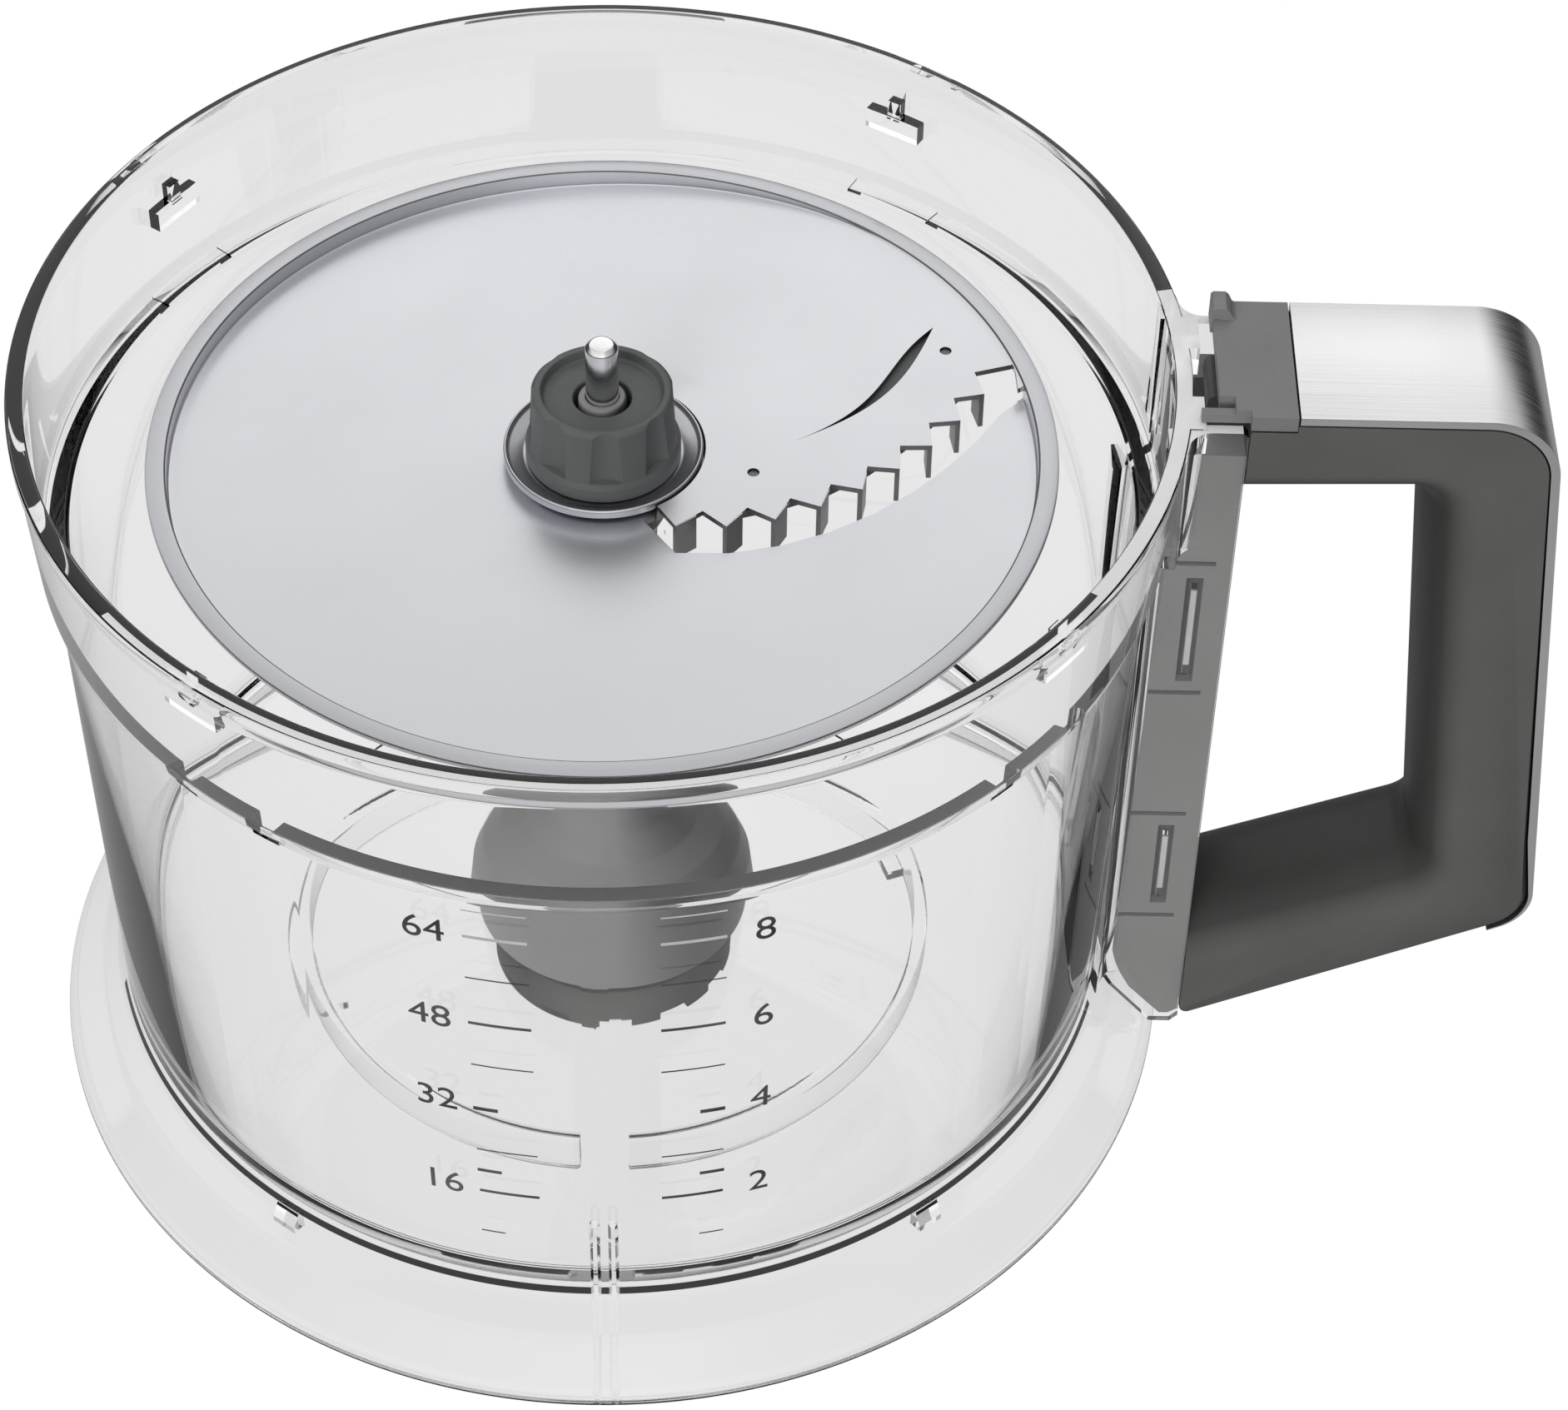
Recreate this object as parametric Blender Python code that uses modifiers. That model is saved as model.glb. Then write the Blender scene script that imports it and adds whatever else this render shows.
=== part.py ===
"""Food processor work bowl with its handle, drive stem and julienne disc, for Blender 4.5.

Units are metres and +Z is up.  The bowl stands on z = 0 and its handle points along +X.
Lengths below are given in millimetres and are turned into metres by the helpers.
"""

import math

import bmesh
import bpy
from mathutils import Vector

MM = 0.001
GAP = 0.3                      # clearance between pieces that touch on the real object

# Bowl, all radii measured from the bowl's own axis
BASE_R = 98.7                  # outer radius of the flared foot
RIM_R = 94.0                   # outer radius of the top rim
RIM_Z = 144.9
LEDGE_Z = 118.0                # shelf that the lid's inner bowl rests on
WALL = 2.6
FLOOR_TOP_Z = 19.6
FLOOR_Z = 17.0
TUBE_R = 13.4                  # centre tube around the drive shaft
TUBE_BORE_R = 11.0
TUBE_TOP_Z = 44.0
COLLAR_R = 57.2                # ring under the floor that locks on the motor base
COLLAR_BOTTOM_Z = 9.0
COLLAR_GAP = 10.0
BOWL_STEPS = 72

# Handle
HANDLE_REACH = 161.6           # from the bowl axis to the outermost point of the handle
HANDLE_HALF = 14.0             # half of the handle's width
HANDLE_TOP_Z = 148.0
HANDLE_CORNER_X = 150.9        # where the top and the outer side would meet
HANDLE_REACH_Z = 36.5          # height of that outermost point
STRIP_END_Z = 40.5
STRIP_T = 1.5
HOLD_START = (27.4, 129.3)     # heights of the hand's opening at the spine
HOLD_LOW = (139.6, 43.3)       # its outer corners in the handle's middle plane
HOLD_HIGH = (131.6, 130.3)
HOLD_SLOPE = (43.3 - 27.4) / (139.6 - 102.4)
HOLD_FLAT = 3.0                # half width of the opening's flat middle
HOLD_FLARE = (6.5, 9.0, 11.0)  # how much wider it is at the faces: above, outside and below
SPINE_X = 102.1                # outer face of the spine
SPINE_HALF = 11.8
WING_T = 1.9
WING_HALF = 14.1
WINDOWS = ((32.8, 52.8), (88.0, 111.8))        # heights of the snap windows in the spine
WINDOW_X = (95.0, 97.8)
GROOVES_Z = (29.6, 55.7, 85.3, 115.0)

# The origin is the middle of the whole footprint, so the bowl's axis is moved back from it
AXIS_X = -(HANDLE_REACH - BASE_R) / 2

# Interlock in the handle
ROD_X = 97.6
ROD_R = 2.2
ROD_BOTTOM_Z = 9.4
ROD_TIP_Z = 4.8
ROD_TOP_Z = 135.0
LEVER_PIVOT_X = 105.4
LEVER_PIVOT_Z = 138.6
SPRING_BOTTOM_Z = 24.0
SPRING_TOP_Z = 44.0
SPRING_TURNS = 6

# Drive
SHAFT_R = 5.5
SHAFT_TOP_Z = 58.0
COUPLING_R = 21.4
COUPLING_BOTTOM_Z = 5.3
COUPLING_TEETH = 12
STEM_R = 23.9
STEM_BOTTOM_Z = 20.2
STEM_SHOULDER_Z = 40.0
STEM_SEAT_Z = 119.6            # top of the stem's collar, where the disc's hub rests
BOSS_R = 3.9
PIN_R = 2.65
PIN_TOP_Z = 148.2

# Julienne disc
DISC_R = 73.8
DISC_RIM_Z = 126.6
DISC_TOP_Z = 123.6             # the flat plate, lower than its rim
DISC_T = 1.0
GROOVE_R = 70.5
PLATEAU_Z = 126.3              # the raised part behind the blade
FLANGE_R = 16.2
TEETH = 9
TOOTH_FIRST_R = 22.1
TOOTH_PITCH = 5.2
TOOTH_FIRST_DEG = -56.2
TOOTH_STEP = 5.55              # how far each tooth is set back along its own circle
TOOTH_LENGTH = 4.1
TOOTH_T = 0.8
TOOTH_BOTTOM_Z = 119.2
SLOT_WIDTH = 3.4               # gap in front of the teeth that the food falls through
RAMP_START_DEG = 33.0
RAMP_END_DEG = 66.0

# Hub knob
KNOB_R = 11.6
KNOB_BASE_R = 12.6
KNOB_TOP_Z = 138.7
KNOB_BASE_Z = 125.4
KNOB_HOLE_R = 4.7
KNOB_FLUTES = 8
KNOB_FLUTE_DEG = -85.0


def new_collection(name, hidden=False):
    collection = bpy.data.collections.new(name)
    bpy.context.scene.collection.children.link(collection)
    collection.hide_render = hidden
    return collection


def clear_scene():
    for obj in list(bpy.data.objects):
        bpy.data.objects.remove(obj, do_unlink=True)


clear_scene()
PARTS = new_collection("food_processor_bowl")
CUTTERS = new_collection("cutters", hidden=True)


def material(name, color, roughness, metallic=0.0, alpha=1.0):
    mat = bpy.data.materials.new(name)
    mat.use_nodes = True
    shader = mat.node_tree.nodes["Principled BSDF"]
    shader.inputs["Base Color"].default_value = (*color, 1.0)
    shader.inputs["Roughness"].default_value = roughness
    shader.inputs["Metallic"].default_value = metallic
    shader.inputs["Alpha"].default_value = alpha
    return mat


CLEAR = material("clear_plastic", (0.90, 0.92, 0.92), 0.05, alpha=0.3)
STEEL = material("brushed_steel", (0.78, 0.78, 0.80), 0.32, metallic=1.0)
SHINY = material("polished_steel", (0.80, 0.80, 0.81), 0.15, metallic=1.0)
DARK = material("handle_plastic", (0.090, 0.090, 0.087), 0.55)
CAP = material("cap_plastic", (0.21, 0.22, 0.21), 0.5)
GREY = material("stem_plastic", (0.20, 0.20, 0.20), 0.5)
KNOB = material("knob_plastic", (0.075, 0.08, 0.08), 0.5)
BLACK = material("seal_rubber", (0.03, 0.03, 0.03), 0.8)


def empty(name, x, z=0.0):
    obj = bpy.data.objects.new(name, None)
    obj.location = (x * MM, 0.0, z * MM)
    PARTS.objects.link(obj)
    return obj


AXIS = empty("bowl_axis", AXIS_X)
LEVER_AXIS = empty("lever_axis", AXIS_X + LEVER_PIVOT_X, LEVER_PIVOT_Z)


def add_object(name, mesh, mat, parent=AXIS, collection=PARTS):
    obj = bpy.data.objects.new(name, mesh)
    if mat:
        mesh.materials.append(mat)
    obj.parent = parent
    if parent is LEVER_AXIS:
        obj.location = (-LEVER_PIVOT_X * MM, 0.0, -LEVER_PIVOT_Z * MM)
    collection.objects.link(obj)
    if collection is CUTTERS:
        obj.display_type = "WIRE"
        obj.hide_render = True
    return obj


def mesh_from(bm, name):
    mesh = bpy.data.meshes.new(name)
    bmesh.ops.recalc_face_normals(bm, faces=bm.faces)
    bm.to_mesh(mesh)
    bm.free()
    return mesh


def turned(name, profile, mat, steps=48, collection=PARTS):
    """A closed profile of (radius, z) turned about the bowl's axis; its outer side runs downwards."""
    bm = bmesh.new()
    points = [bm.verts.new((r * MM, 0.0, z * MM)) for r, z in profile]
    on_axis = profile[0][0] == 0.0
    count = len(points) - 1 if on_axis else len(points)
    for i in range(count):
        bm.edges.new((points[i], points[(i + 1) % len(points)]))
    mesh = bpy.data.meshes.new(name)
    bm.to_mesh(mesh)
    bm.free()
    obj = add_object(name, mesh, mat, collection=collection)
    screw = obj.modifiers.new("turn", "SCREW")
    screw.axis = "Z"
    screw.steps = steps
    screw.render_steps = steps
    screw.use_merge_vertices = True
    screw.merge_threshold = 0.00001
    return obj


def rounded(points, radii, segments=5):
    """A closed outline with an arc at each corner whose radius isn't 0."""
    outline = []
    for i, (corner, radius) in enumerate(zip(points, radii)):
        here = Vector(corner)
        back = (Vector(points[i - 1]) - here).normalized()
        ahead = (Vector(points[(i + 1) % len(points)]) - here).normalized()
        if radius == 0:
            outline.append((here.x, here.y))
            continue
        half = back.angle(ahead) / 2
        centre = here + (back + ahead).normalized() * (radius / math.sin(half))
        start = here + back * (radius / math.tan(half))
        end = here + ahead * (radius / math.tan(half))
        for k in range(segments + 1):
            arm = (start - centre).lerp(end - centre, k / segments).normalized() * radius
            outline.append((centre.x + arm.x, centre.y + arm.y))
    return outline


def curve_mesh(name, outlines, half):
    """Flat outlines in the curve's plane, filled and extruded by half each way, as a welded mesh."""
    curve = bpy.data.curves.new(name, "CURVE")
    curve.dimensions = "2D"
    curve.fill_mode = "BOTH"
    curve.extrude = half * MM
    for outline in outlines:
        spline = curve.splines.new("POLY")
        spline.points.add(len(outline) - 1)
        spline.use_cyclic_u = True
        for point, (u, v) in zip(spline.points, outline):
            point.co = (u * MM, v * MM, 0.0, 1.0)
    holder = bpy.data.objects.new(name + "_curve", curve)
    bpy.context.scene.collection.objects.link(holder)
    depsgraph = bpy.context.evaluated_depsgraph_get()
    mesh = bpy.data.meshes.new_from_object(holder.evaluated_get(depsgraph))
    bpy.data.objects.remove(holder, do_unlink=True)
    bm = bmesh.new()
    bm.from_mesh(mesh)
    bpy.data.meshes.remove(mesh)
    bmesh.ops.remove_doubles(bm, verts=bm.verts, dist=1e-6)
    return bm


def side_plate(name, outlines, y_low, y_high, mat, parent=AXIS, collection=PARTS):
    """Outlines of (x, z) extruded along Y."""
    bm = curve_mesh(name, outlines, (y_high - y_low) / 2)
    middle = (y_high + y_low) / 2 * MM
    for vert in bm.verts:
        vert.co = (vert.co.x, middle - vert.co.z, vert.co.y)
    return add_object(name, mesh_from(bm, name), mat, parent, collection)


def flat_plate(name, outlines, z_low, z_high, mat, collection=PARTS):
    """Outlines of (x, y) extruded along Z."""
    bm = curve_mesh(name, outlines, (z_high - z_low) / 2)
    bmesh.ops.translate(bm, verts=bm.verts, vec=(0.0, 0.0, (z_high + z_low) / 2 * MM))
    return add_object(name, mesh_from(bm, name), mat, collection=collection)


def add_box(bm, low, high, turn_deg=0.0):
    """A box in the mesh, turned about the bowl's axis."""
    made = bmesh.ops.create_cube(bm, size=1.0)["verts"]
    for vert in made:
        vert.co = [(lo + (c + 0.5) * (hi - lo)) * MM for c, lo, hi in zip(vert.co, low, high)]
    if turn_deg:
        turn = Vector((math.cos(math.radians(turn_deg)), math.sin(math.radians(turn_deg))))
        for vert in made:
            x, y = vert.co.x, vert.co.y
            vert.co.x = x * turn.x - y * turn.y
            vert.co.y = x * turn.y + y * turn.x


def add_rod(bm, x, y, radius, z_low, z_high, sides=24):
    """An upright cylinder in the mesh."""
    made = bmesh.ops.create_cone(bm, cap_ends=True, segments=sides, radius1=radius * MM,
                                 radius2=radius * MM, depth=(z_high - z_low) * MM)["verts"]
    bmesh.ops.translate(bm, verts=made, vec=(x * MM, y * MM, (z_low + z_high) / 2 * MM))


def from_shapes(name, mat, build, parent=AXIS, collection=PARTS):
    """An object whose mesh is filled by the function build(bm)."""
    bm = bmesh.new()
    build(bm)
    return add_object(name, mesh_from(bm, name), mat, parent, collection)


def boolean(target, tool, operation):
    modifier = target.modifiers.new(operation.lower(), "BOOLEAN")
    modifier.operation = operation
    modifier.solver = "EXACT"
    modifier.use_self = True       # a tool may be several shapes that overlap
    modifier.object = tool


def cut(target, tool):
    boolean(target, tool, "DIFFERENCE")


def join(target, tool):
    boolean(target, tool, "UNION")


def bevel(obj, width, segments=2, angle=40.0):
    modifier = obj.modifiers.new("bevel", "BEVEL")
    modifier.width = width * MM
    modifier.segments = segments
    modifier.limit_method = "ANGLE"
    modifier.angle_limit = math.radians(angle)


def polar(radius, degrees):
    return radius * math.cos(math.radians(degrees)), radius * math.sin(math.radians(degrees))


# ---------------------------------------------------------------- bowl

def bowl_profile():
    foot = [(92.0, 9.0), (98.0, 1.8), (BASE_R, 0.9), (BASE_R, 0.0), (BASE_R - 2.2, 0.0),
            (95.6, 1.0), (89.6, 8.3), (86.4, 14.0), (84.6, FLOOR_Z)]
    tube = [(TUBE_BORE_R, FLOOR_Z), (TUBE_BORE_R, TUBE_TOP_Z), (TUBE_R, TUBE_TOP_Z),
            (TUBE_R, FLOOR_TOP_Z + 1.5), (TUBE_R + 1.5, FLOOR_TOP_Z)]
    inside = [(82.8, FLOOR_TOP_Z), (84.2, 20.2), (84.8, 21.8), (86.9, LEDGE_Z - 0.7),
              (87.6, LEDGE_Z), (90.2, LEDGE_Z), (90.6, LEDGE_Z + 0.6), (91.0, 140.5),
              (91.2, RIM_Z - 0.3), (91.5, RIM_Z)]
    outside = [(93.5, RIM_Z), (RIM_R, RIM_Z - 0.5), (RIM_R, 142.6), (93.5, 140.5),
               (92.0, 119.0), (91.4, 116.6), (89.9, 114.4), (87.4, 19.2), (88.7, 15.2)]
    return outside + foot + tube + inside


def make_collar():
    """The ring under the floor, open at the front, with its two bayonet ramps."""
    inner = COLLAR_R - WALL
    ring = [(COLLAR_R, FLOOR_Z + 1.0), (COLLAR_R, COLLAR_BOTTOM_Z), (inner, COLLAR_BOTTOM_Z),
            (inner, FLOOR_Z + 1.0)]
    collar = turned("collar_tool", ring, None, steps=64, collection=CUTTERS)
    half = COLLAR_GAP / 2
    gap = from_shapes("collar_gap_tool", None, lambda bm: add_box(
        bm, (-half, -COLLAR_R - 2, COLLAR_BOTTOM_Z - 2), (half, -inner + 2, FLOOR_Z)),
        collection=CUTTERS)
    cut(collar, gap)
    return collar


def bowl_details(bm):
    """Lid lugs, collar ramps, foot lugs and the front rib pair, each overlapping the bowl."""
    for degrees in (-128.0, -38.0, 58.3, 146.2):
        add_box(bm, (88.6, -5.2, 132.0), (91.4, 5.2, 135.6), degrees)
        add_box(bm, (89.2, -1.2, 135.0), (91.6, 1.2, 138.6), degrees)
    for degrees in (20.0, 200.0):
        add_box(bm, (COLLAR_R - WALL - 3.4, -5.0, COLLAR_BOTTOM_Z + 0.8),
                (COLLAR_R - 1.0, 5.0, COLLAR_BOTTOM_Z + 3.0), degrees)
    for degrees in (-128.0, -49.0):
        add_box(bm, (85.0, -1.6, 9.6), (88.6, 1.6, 13.2), degrees)


def rib_outline():
    """One front rib, as (distance from the axis, z), running from the wall over the foot."""
    return [(86.4, 22.0), (87.7, 36.5), (88.7, 35.5), (88.9, 22.5), (90.2, 16.6), (93.5, 10.4),
            (98.3, 4.4), (98.4, 1.4), (96.6, 1.0), (90.6, 8.8), (87.4, 14.6)]


def wing_outline():
    return [(91.9, RIM_Z - 0.25), (101.2, RIM_Z - 0.25), (SPINE_X, RIM_Z - 1.2), (SPINE_X, 4.2),
            (SPINE_X - 1.4, 2.6), (97.0, 2.6), (87.3, 14.6), (85.1, 24.0), (87.4, 114.0),
            (90.2, 119.6), (91.6, 141.0)]


def snap_tongues(bm):
    """Clear tongues on the wings' inner faces that click into the spine's windows."""
    for z_low, z_high in WINDOWS:
        for side in (-1, 1):
            inner, outer = sorted((side * (SPINE_HALF - 1.0), side * (WING_HALF - WING_T + 0.4)))
            add_box(bm, (95.9, inner, z_low + 2.0), (96.9, outer, z_high - 2.0))


def make_bowl():
    bowl = turned("bowl", bowl_profile(), CLEAR, steps=BOWL_STEPS)
    join(bowl, make_collar())
    for side, low in (("near", -WING_HALF), ("far", WING_HALF - WING_T)):
        wing = side_plate("wing_tool_" + side, [wing_outline()], low, low + WING_T, None,
                          collection=CUTTERS)
        join(bowl, wing)
    for i, offset in enumerate((-1.7, 1.7)):
        rib = side_plate(f"rib_tool_{i}", [rib_outline()], -0.5, 0.5, None, collection=CUTTERS)
        rib.rotation_euler.z = math.radians(-88.7)
        rib.location = (polar(offset, 1.3)[0] * MM, polar(offset, 1.3)[1] * MM, 0.0)
        join(bowl, rib)
    join(bowl, from_shapes("bowl_detail_tool", None, bowl_details, collection=CUTTERS))
    join(bowl, from_shapes("tongue_tool", None, snap_tongues, collection=CUTTERS))


# ---------------------------------------------------------------- handle

def handle_corner(inset, z=None):
    """The outer side's top corner, or its point at height z, moved inwards by inset."""
    lean = (HANDLE_REACH - HANDLE_CORNER_X) / (HANDLE_TOP_Z - HANDLE_REACH_Z)
    height = HANDLE_TOP_Z - inset if z is None else z
    return HANDLE_CORNER_X + lean * (HANDLE_TOP_Z - height) - inset, height


def core_outline(y):
    """The handle's C at one distance from its middle plane; the opening flares towards the faces."""
    share = max(abs(y) - HOLD_FLAT, 0.0) / (HANDLE_HALF - HOLD_FLAT)
    flare = 1.0 - math.sqrt(1.0 - min(share, 1.0) ** 2)
    above, outside, below = [amount * flare for amount in HOLD_FLARE]
    edge = 1.2 * max(abs(y) - 12.4, 0.0) ** 2 / 2.56
    start = SPINE_X + GAP
    inset = STRIP_T + GAP
    points = [(start, HANDLE_TOP_Z - inset), handle_corner(inset),
              handle_corner(inset, STRIP_END_Z - GAP), handle_corner(0.0, STRIP_END_Z - GAP),
              handle_corner(0.0, 32.3 + edge), (start, 3.2 + edge), (start, HOLD_START[0] - below),
              (HOLD_LOW[0] + outside, HOLD_LOW[1] + HOLD_SLOPE * outside - below),
              (HOLD_HIGH[0] + outside, HOLD_HIGH[1] + above), (start, HOLD_START[1] + above)]
    return rounded(points, [0, 11.0, 0, 0, 9.0, 1.2, 0, 4.0 + outside, 4.0 + above, 0], 6)


def make_core():
    """The dark plastic C that the hand holds, from the spine out and back."""
    half = [HOLD_FLAT + (HANDLE_HALF - HOLD_FLAT) * math.sin(math.radians(turn))
            for turn in (0, 22, 43, 62, 78, 90)]

    def build(bm):
        rings = []
        for y in [-value for value in reversed(half)] + half:
            rings.append([bm.verts.new((x * MM, y * MM, z * MM)) for x, z in core_outline(y)])
        for near, far in zip(rings, rings[1:]):
            for i in range(len(near)):
                j = (i + 1) % len(near)
                bm.faces.new((near[i], near[j], far[j], far[i]))
        bm.faces.new(rings[0])
        bm.faces.new(rings[-1][::-1])
    core = from_shapes("handle_core", DARK, build)
    cut(core, from_shapes("core_pocket_tool", None, core_pocket, collection=CUTTERS))


def core_pocket(bm):
    """Room for the lever and its pin, open towards the spine and the cap."""
    add_box(bm, (SPINE_X - 2, -6.0, LEVER_PIVOT_Z - 3.7), (109.0, 6.0, 146.0))
    add_box(bm, (SPINE_X - 2, -15.0, 144.6), (109.7, 15.0, 149.0))


def make_strip():
    """The bent metal band on the top and the outer side."""
    top, low = handle_corner(0.0), handle_corner(0.0, STRIP_END_Z)
    inner_top, inner_low = handle_corner(STRIP_T), handle_corner(STRIP_T, STRIP_END_Z)
    points = [(109.9, top[1]), top, low, inner_low, inner_top, (109.9, inner_top[1])]
    outline = rounded(points, [0, 12.5, 0, 0, 11.0, 0], 8)
    strip = side_plate("handle_strip", [outline], -HANDLE_HALF, HANDLE_HALF, STEEL)
    bevel(strip, 0.4, 1, 50.0)


def make_cap():
    """The grey cap over the top of the spine, with a window for the lid's tab."""
    outline = [(96.9, 144.9 + GAP), (109.6, 144.9 + GAP), (109.6, 147.7), (109.0, HANDLE_TOP_Z),
               (96.9, HANDLE_TOP_Z)]
    cap = side_plate("handle_cap", [outline], -HANDLE_HALF, HANDLE_HALF, CAP)
    nub = from_shapes("cap_nub_tool", None, lambda bm: add_box(
        bm, (95.6, 9.6, 144.9 + GAP), (99.6, HANDLE_HALF - 0.2, 150.2)), collection=CUTTERS)
    join(cap, nub)
    window = from_shapes("cap_window_tool", None, lambda bm: add_box(
        bm, (94.0, -9.4, 140.0), (99.4, 8.0, 152.0)), collection=CUTTERS)
    cut(cap, window)


def make_spine():
    """The grey column between the clear wings; the push rod runs down its middle."""
    outline = [(91.3, 113.0), (93.6, 119.2), (94.7, 133.4), (94.7, 138.6), (SPINE_X, 138.6),
               (SPINE_X, 4.4), (100.4, 3.2), (98.9, 3.2), (92.9, 10.2), (89.8, 16.6),
               (88.5, 20.2)]
    spine = side_plate("spine_insert", [outline], -SPINE_HALF, SPINE_HALF, GREY)
    cut(spine, from_shapes("spine_tool", None, spine_cuts, collection=CUTTERS))


def spine_cuts(bm):
    """The rod's bore, the spring's room, the lever's room, and the windows and lines of both sides."""
    add_rod(bm, ROD_X, 0.0, ROD_R + 0.2, 0.0, 150.0)
    add_rod(bm, ROD_X, 0.0, 3.5, SPRING_BOTTOM_Z - GAP, 62.0)
    add_box(bm, (90.0, -6.0, ROD_TOP_Z - 5.0), (SPINE_X + 3, 6.0, 150.0))
    for side in (-1, 1):
        skin, deep = side * (SPINE_HALF + 0.1), side * (SPINE_HALF - 1.7)
        for z_low, z_high in WINDOWS:
            low, high = sorted((skin, deep))
            add_box(bm, (WINDOW_X[0], low, z_low), (WINDOW_X[1], high, z_high))
        shallow = side * (SPINE_HALF - 0.7)
        for z in GROOVES_Z:
            low, high = sorted((skin, shallow))
            add_box(bm, (80.0, low, z - 0.5), (99.5, high, z + 0.5))


# ---------------------------------------------------------------- interlock

def make_push_rod():
    rod = from_shapes("push_rod", GREY, lambda bm: add_rod(
        bm, ROD_X, 0.0, ROD_R, ROD_BOTTOM_Z, ROD_TOP_Z))

    def collar_and_tip(bm):
        add_rod(bm, ROD_X, 0.0, 3.2, SPRING_TOP_Z + GAP, SPRING_TOP_Z + 3.0)
        add_box(bm, (ROD_X + 1.3, -0.6, ROD_TIP_Z), (ROD_X + 2.1, 0.6, ROD_BOTTOM_Z + 1.0))
    join(rod, from_shapes("rod_collar_tool", None, collar_and_tip, collection=CUTTERS))


def make_spring():
    """A coil around the rod, between the spine's ledge and the rod's collar."""
    radius, wire = 2.85, 0.3
    curve = bpy.data.curves.new("push_rod_spring", "CURVE")
    curve.dimensions = "3D"
    curve.bevel_depth = wire * MM
    curve.bevel_resolution = 1
    curve.use_fill_caps = True
    spline = curve.splines.new("POLY")
    steps = SPRING_TURNS * 10
    spline.points.add(steps)
    height = SPRING_TOP_Z - SPRING_BOTTOM_Z - 2 * wire
    for i, point in enumerate(spline.points):
        x, y = polar(radius, 360.0 * SPRING_TURNS * i / steps)
        z = SPRING_BOTTOM_Z + wire + height * i / steps
        point.co = ((ROD_X + x) * MM, y * MM, z * MM, 1.0)
    add_object("push_rod_spring", curve, SHINY)


def make_lever():
    """The rocker that the lid's tab presses; its tip pushes the rod down."""
    tip_x = ROD_X
    z = LEVER_PIVOT_Z
    points = [(LEVER_PIVOT_X + 2.6, z + 2.6), (tip_x + 3.0, z + 4.6), (tip_x - 1.2, z + 6.0),
              (tip_x - 1.6, z + 3.2), (tip_x - 0.6, ROD_TOP_Z + GAP), (tip_x + 1.6, ROD_TOP_Z + GAP),
              (SPINE_X - 1.0, z - 2.4), (LEVER_PIVOT_X + 1.0, z - 2.3), (LEVER_PIVOT_X + 2.6, z - 1.0)]
    outline = rounded(points, [1.2, 1.0, 1.0, 0, 0.6, 0.6, 0, 1.0, 1.0], 3)
    lever = side_plate("interlock_lever", [outline], -5.0, 5.0, CAP, LEVER_AXIS)
    hole = from_shapes("lever_hole_tool", None, lambda bm: lever_pin_shape(bm, 1.3, 8.0),
                       collection=CUTTERS)
    cut(lever, hole)
    from_shapes("lever_pin", SHINY, lambda bm: lever_pin_shape(bm, 1.2, 5.8))


def lever_pin_shape(bm, radius, half):
    made = bmesh.ops.create_cone(bm, cap_ends=True, segments=20, radius1=radius * MM,
                                 radius2=radius * MM, depth=2 * half * MM)["verts"]
    for vert in made:
        vert.co = (vert.co.x + LEVER_PIVOT_X * MM, vert.co.z, -vert.co.y + LEVER_PIVOT_Z * MM)


# ---------------------------------------------------------------- drive

def make_drive():
    bore = SHAFT_R + 0.05
    turned("shaft_bushing", [(TUBE_BORE_R - 0.1, 39.6), (TUBE_BORE_R - 0.1, 17.4), (bore, 17.4),
                             (bore, 39.6)], GREY, 40)
    turned("shaft_seal", [(TUBE_BORE_R - 0.1, 43.8), (TUBE_BORE_R - 0.1, 40.0), (bore, 40.0),
                          (bore + 0.6, 42.0), (bore, 43.8)], BLACK, 40)
    turned("drive_shaft", [(0.0, SHAFT_TOP_Z), (SHAFT_R - 0.6, SHAFT_TOP_Z),
                           (SHAFT_R, SHAFT_TOP_Z - 0.6), (SHAFT_R, 9.6), (SHAFT_R - 0.6, 9.0),
                           (0.0, 9.0)], SHINY, 40)
    turned("retaining_clip", [(8.6, 45.4), (8.6, 44.4), (SHAFT_R + 0.1, 44.4),
                              (SHAFT_R + 0.1, 45.4)], SHINY, 32)
    fit = SHAFT_R + 0.1
    coupling = turned("drive_coupling", [
        (COUPLING_R - 0.8, 16.6), (COUPLING_R, 15.8), (COUPLING_R, COUPLING_BOTTOM_Z),
        (COUPLING_R - 3.0, COUPLING_BOTTOM_Z), (COUPLING_R - 3.0, 13.6), (fit + 3.0, 13.6),
        (fit + 3.0, 8.4), (fit, 8.4), (fit, 16.6)], DARK, 54)
    cut(coupling, from_shapes("coupling_notch_tool", None, coupling_notches, collection=CUTTERS))


def coupling_notches(bm):
    for i in range(COUPLING_TEETH):
        add_box(bm, (COUPLING_R - 4.5, -2.9, COUPLING_BOTTOM_Z - 1), (COUPLING_R + 1, 2.9, 6.6),
                360.0 * i / COUPLING_TEETH + 3.5)


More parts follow.
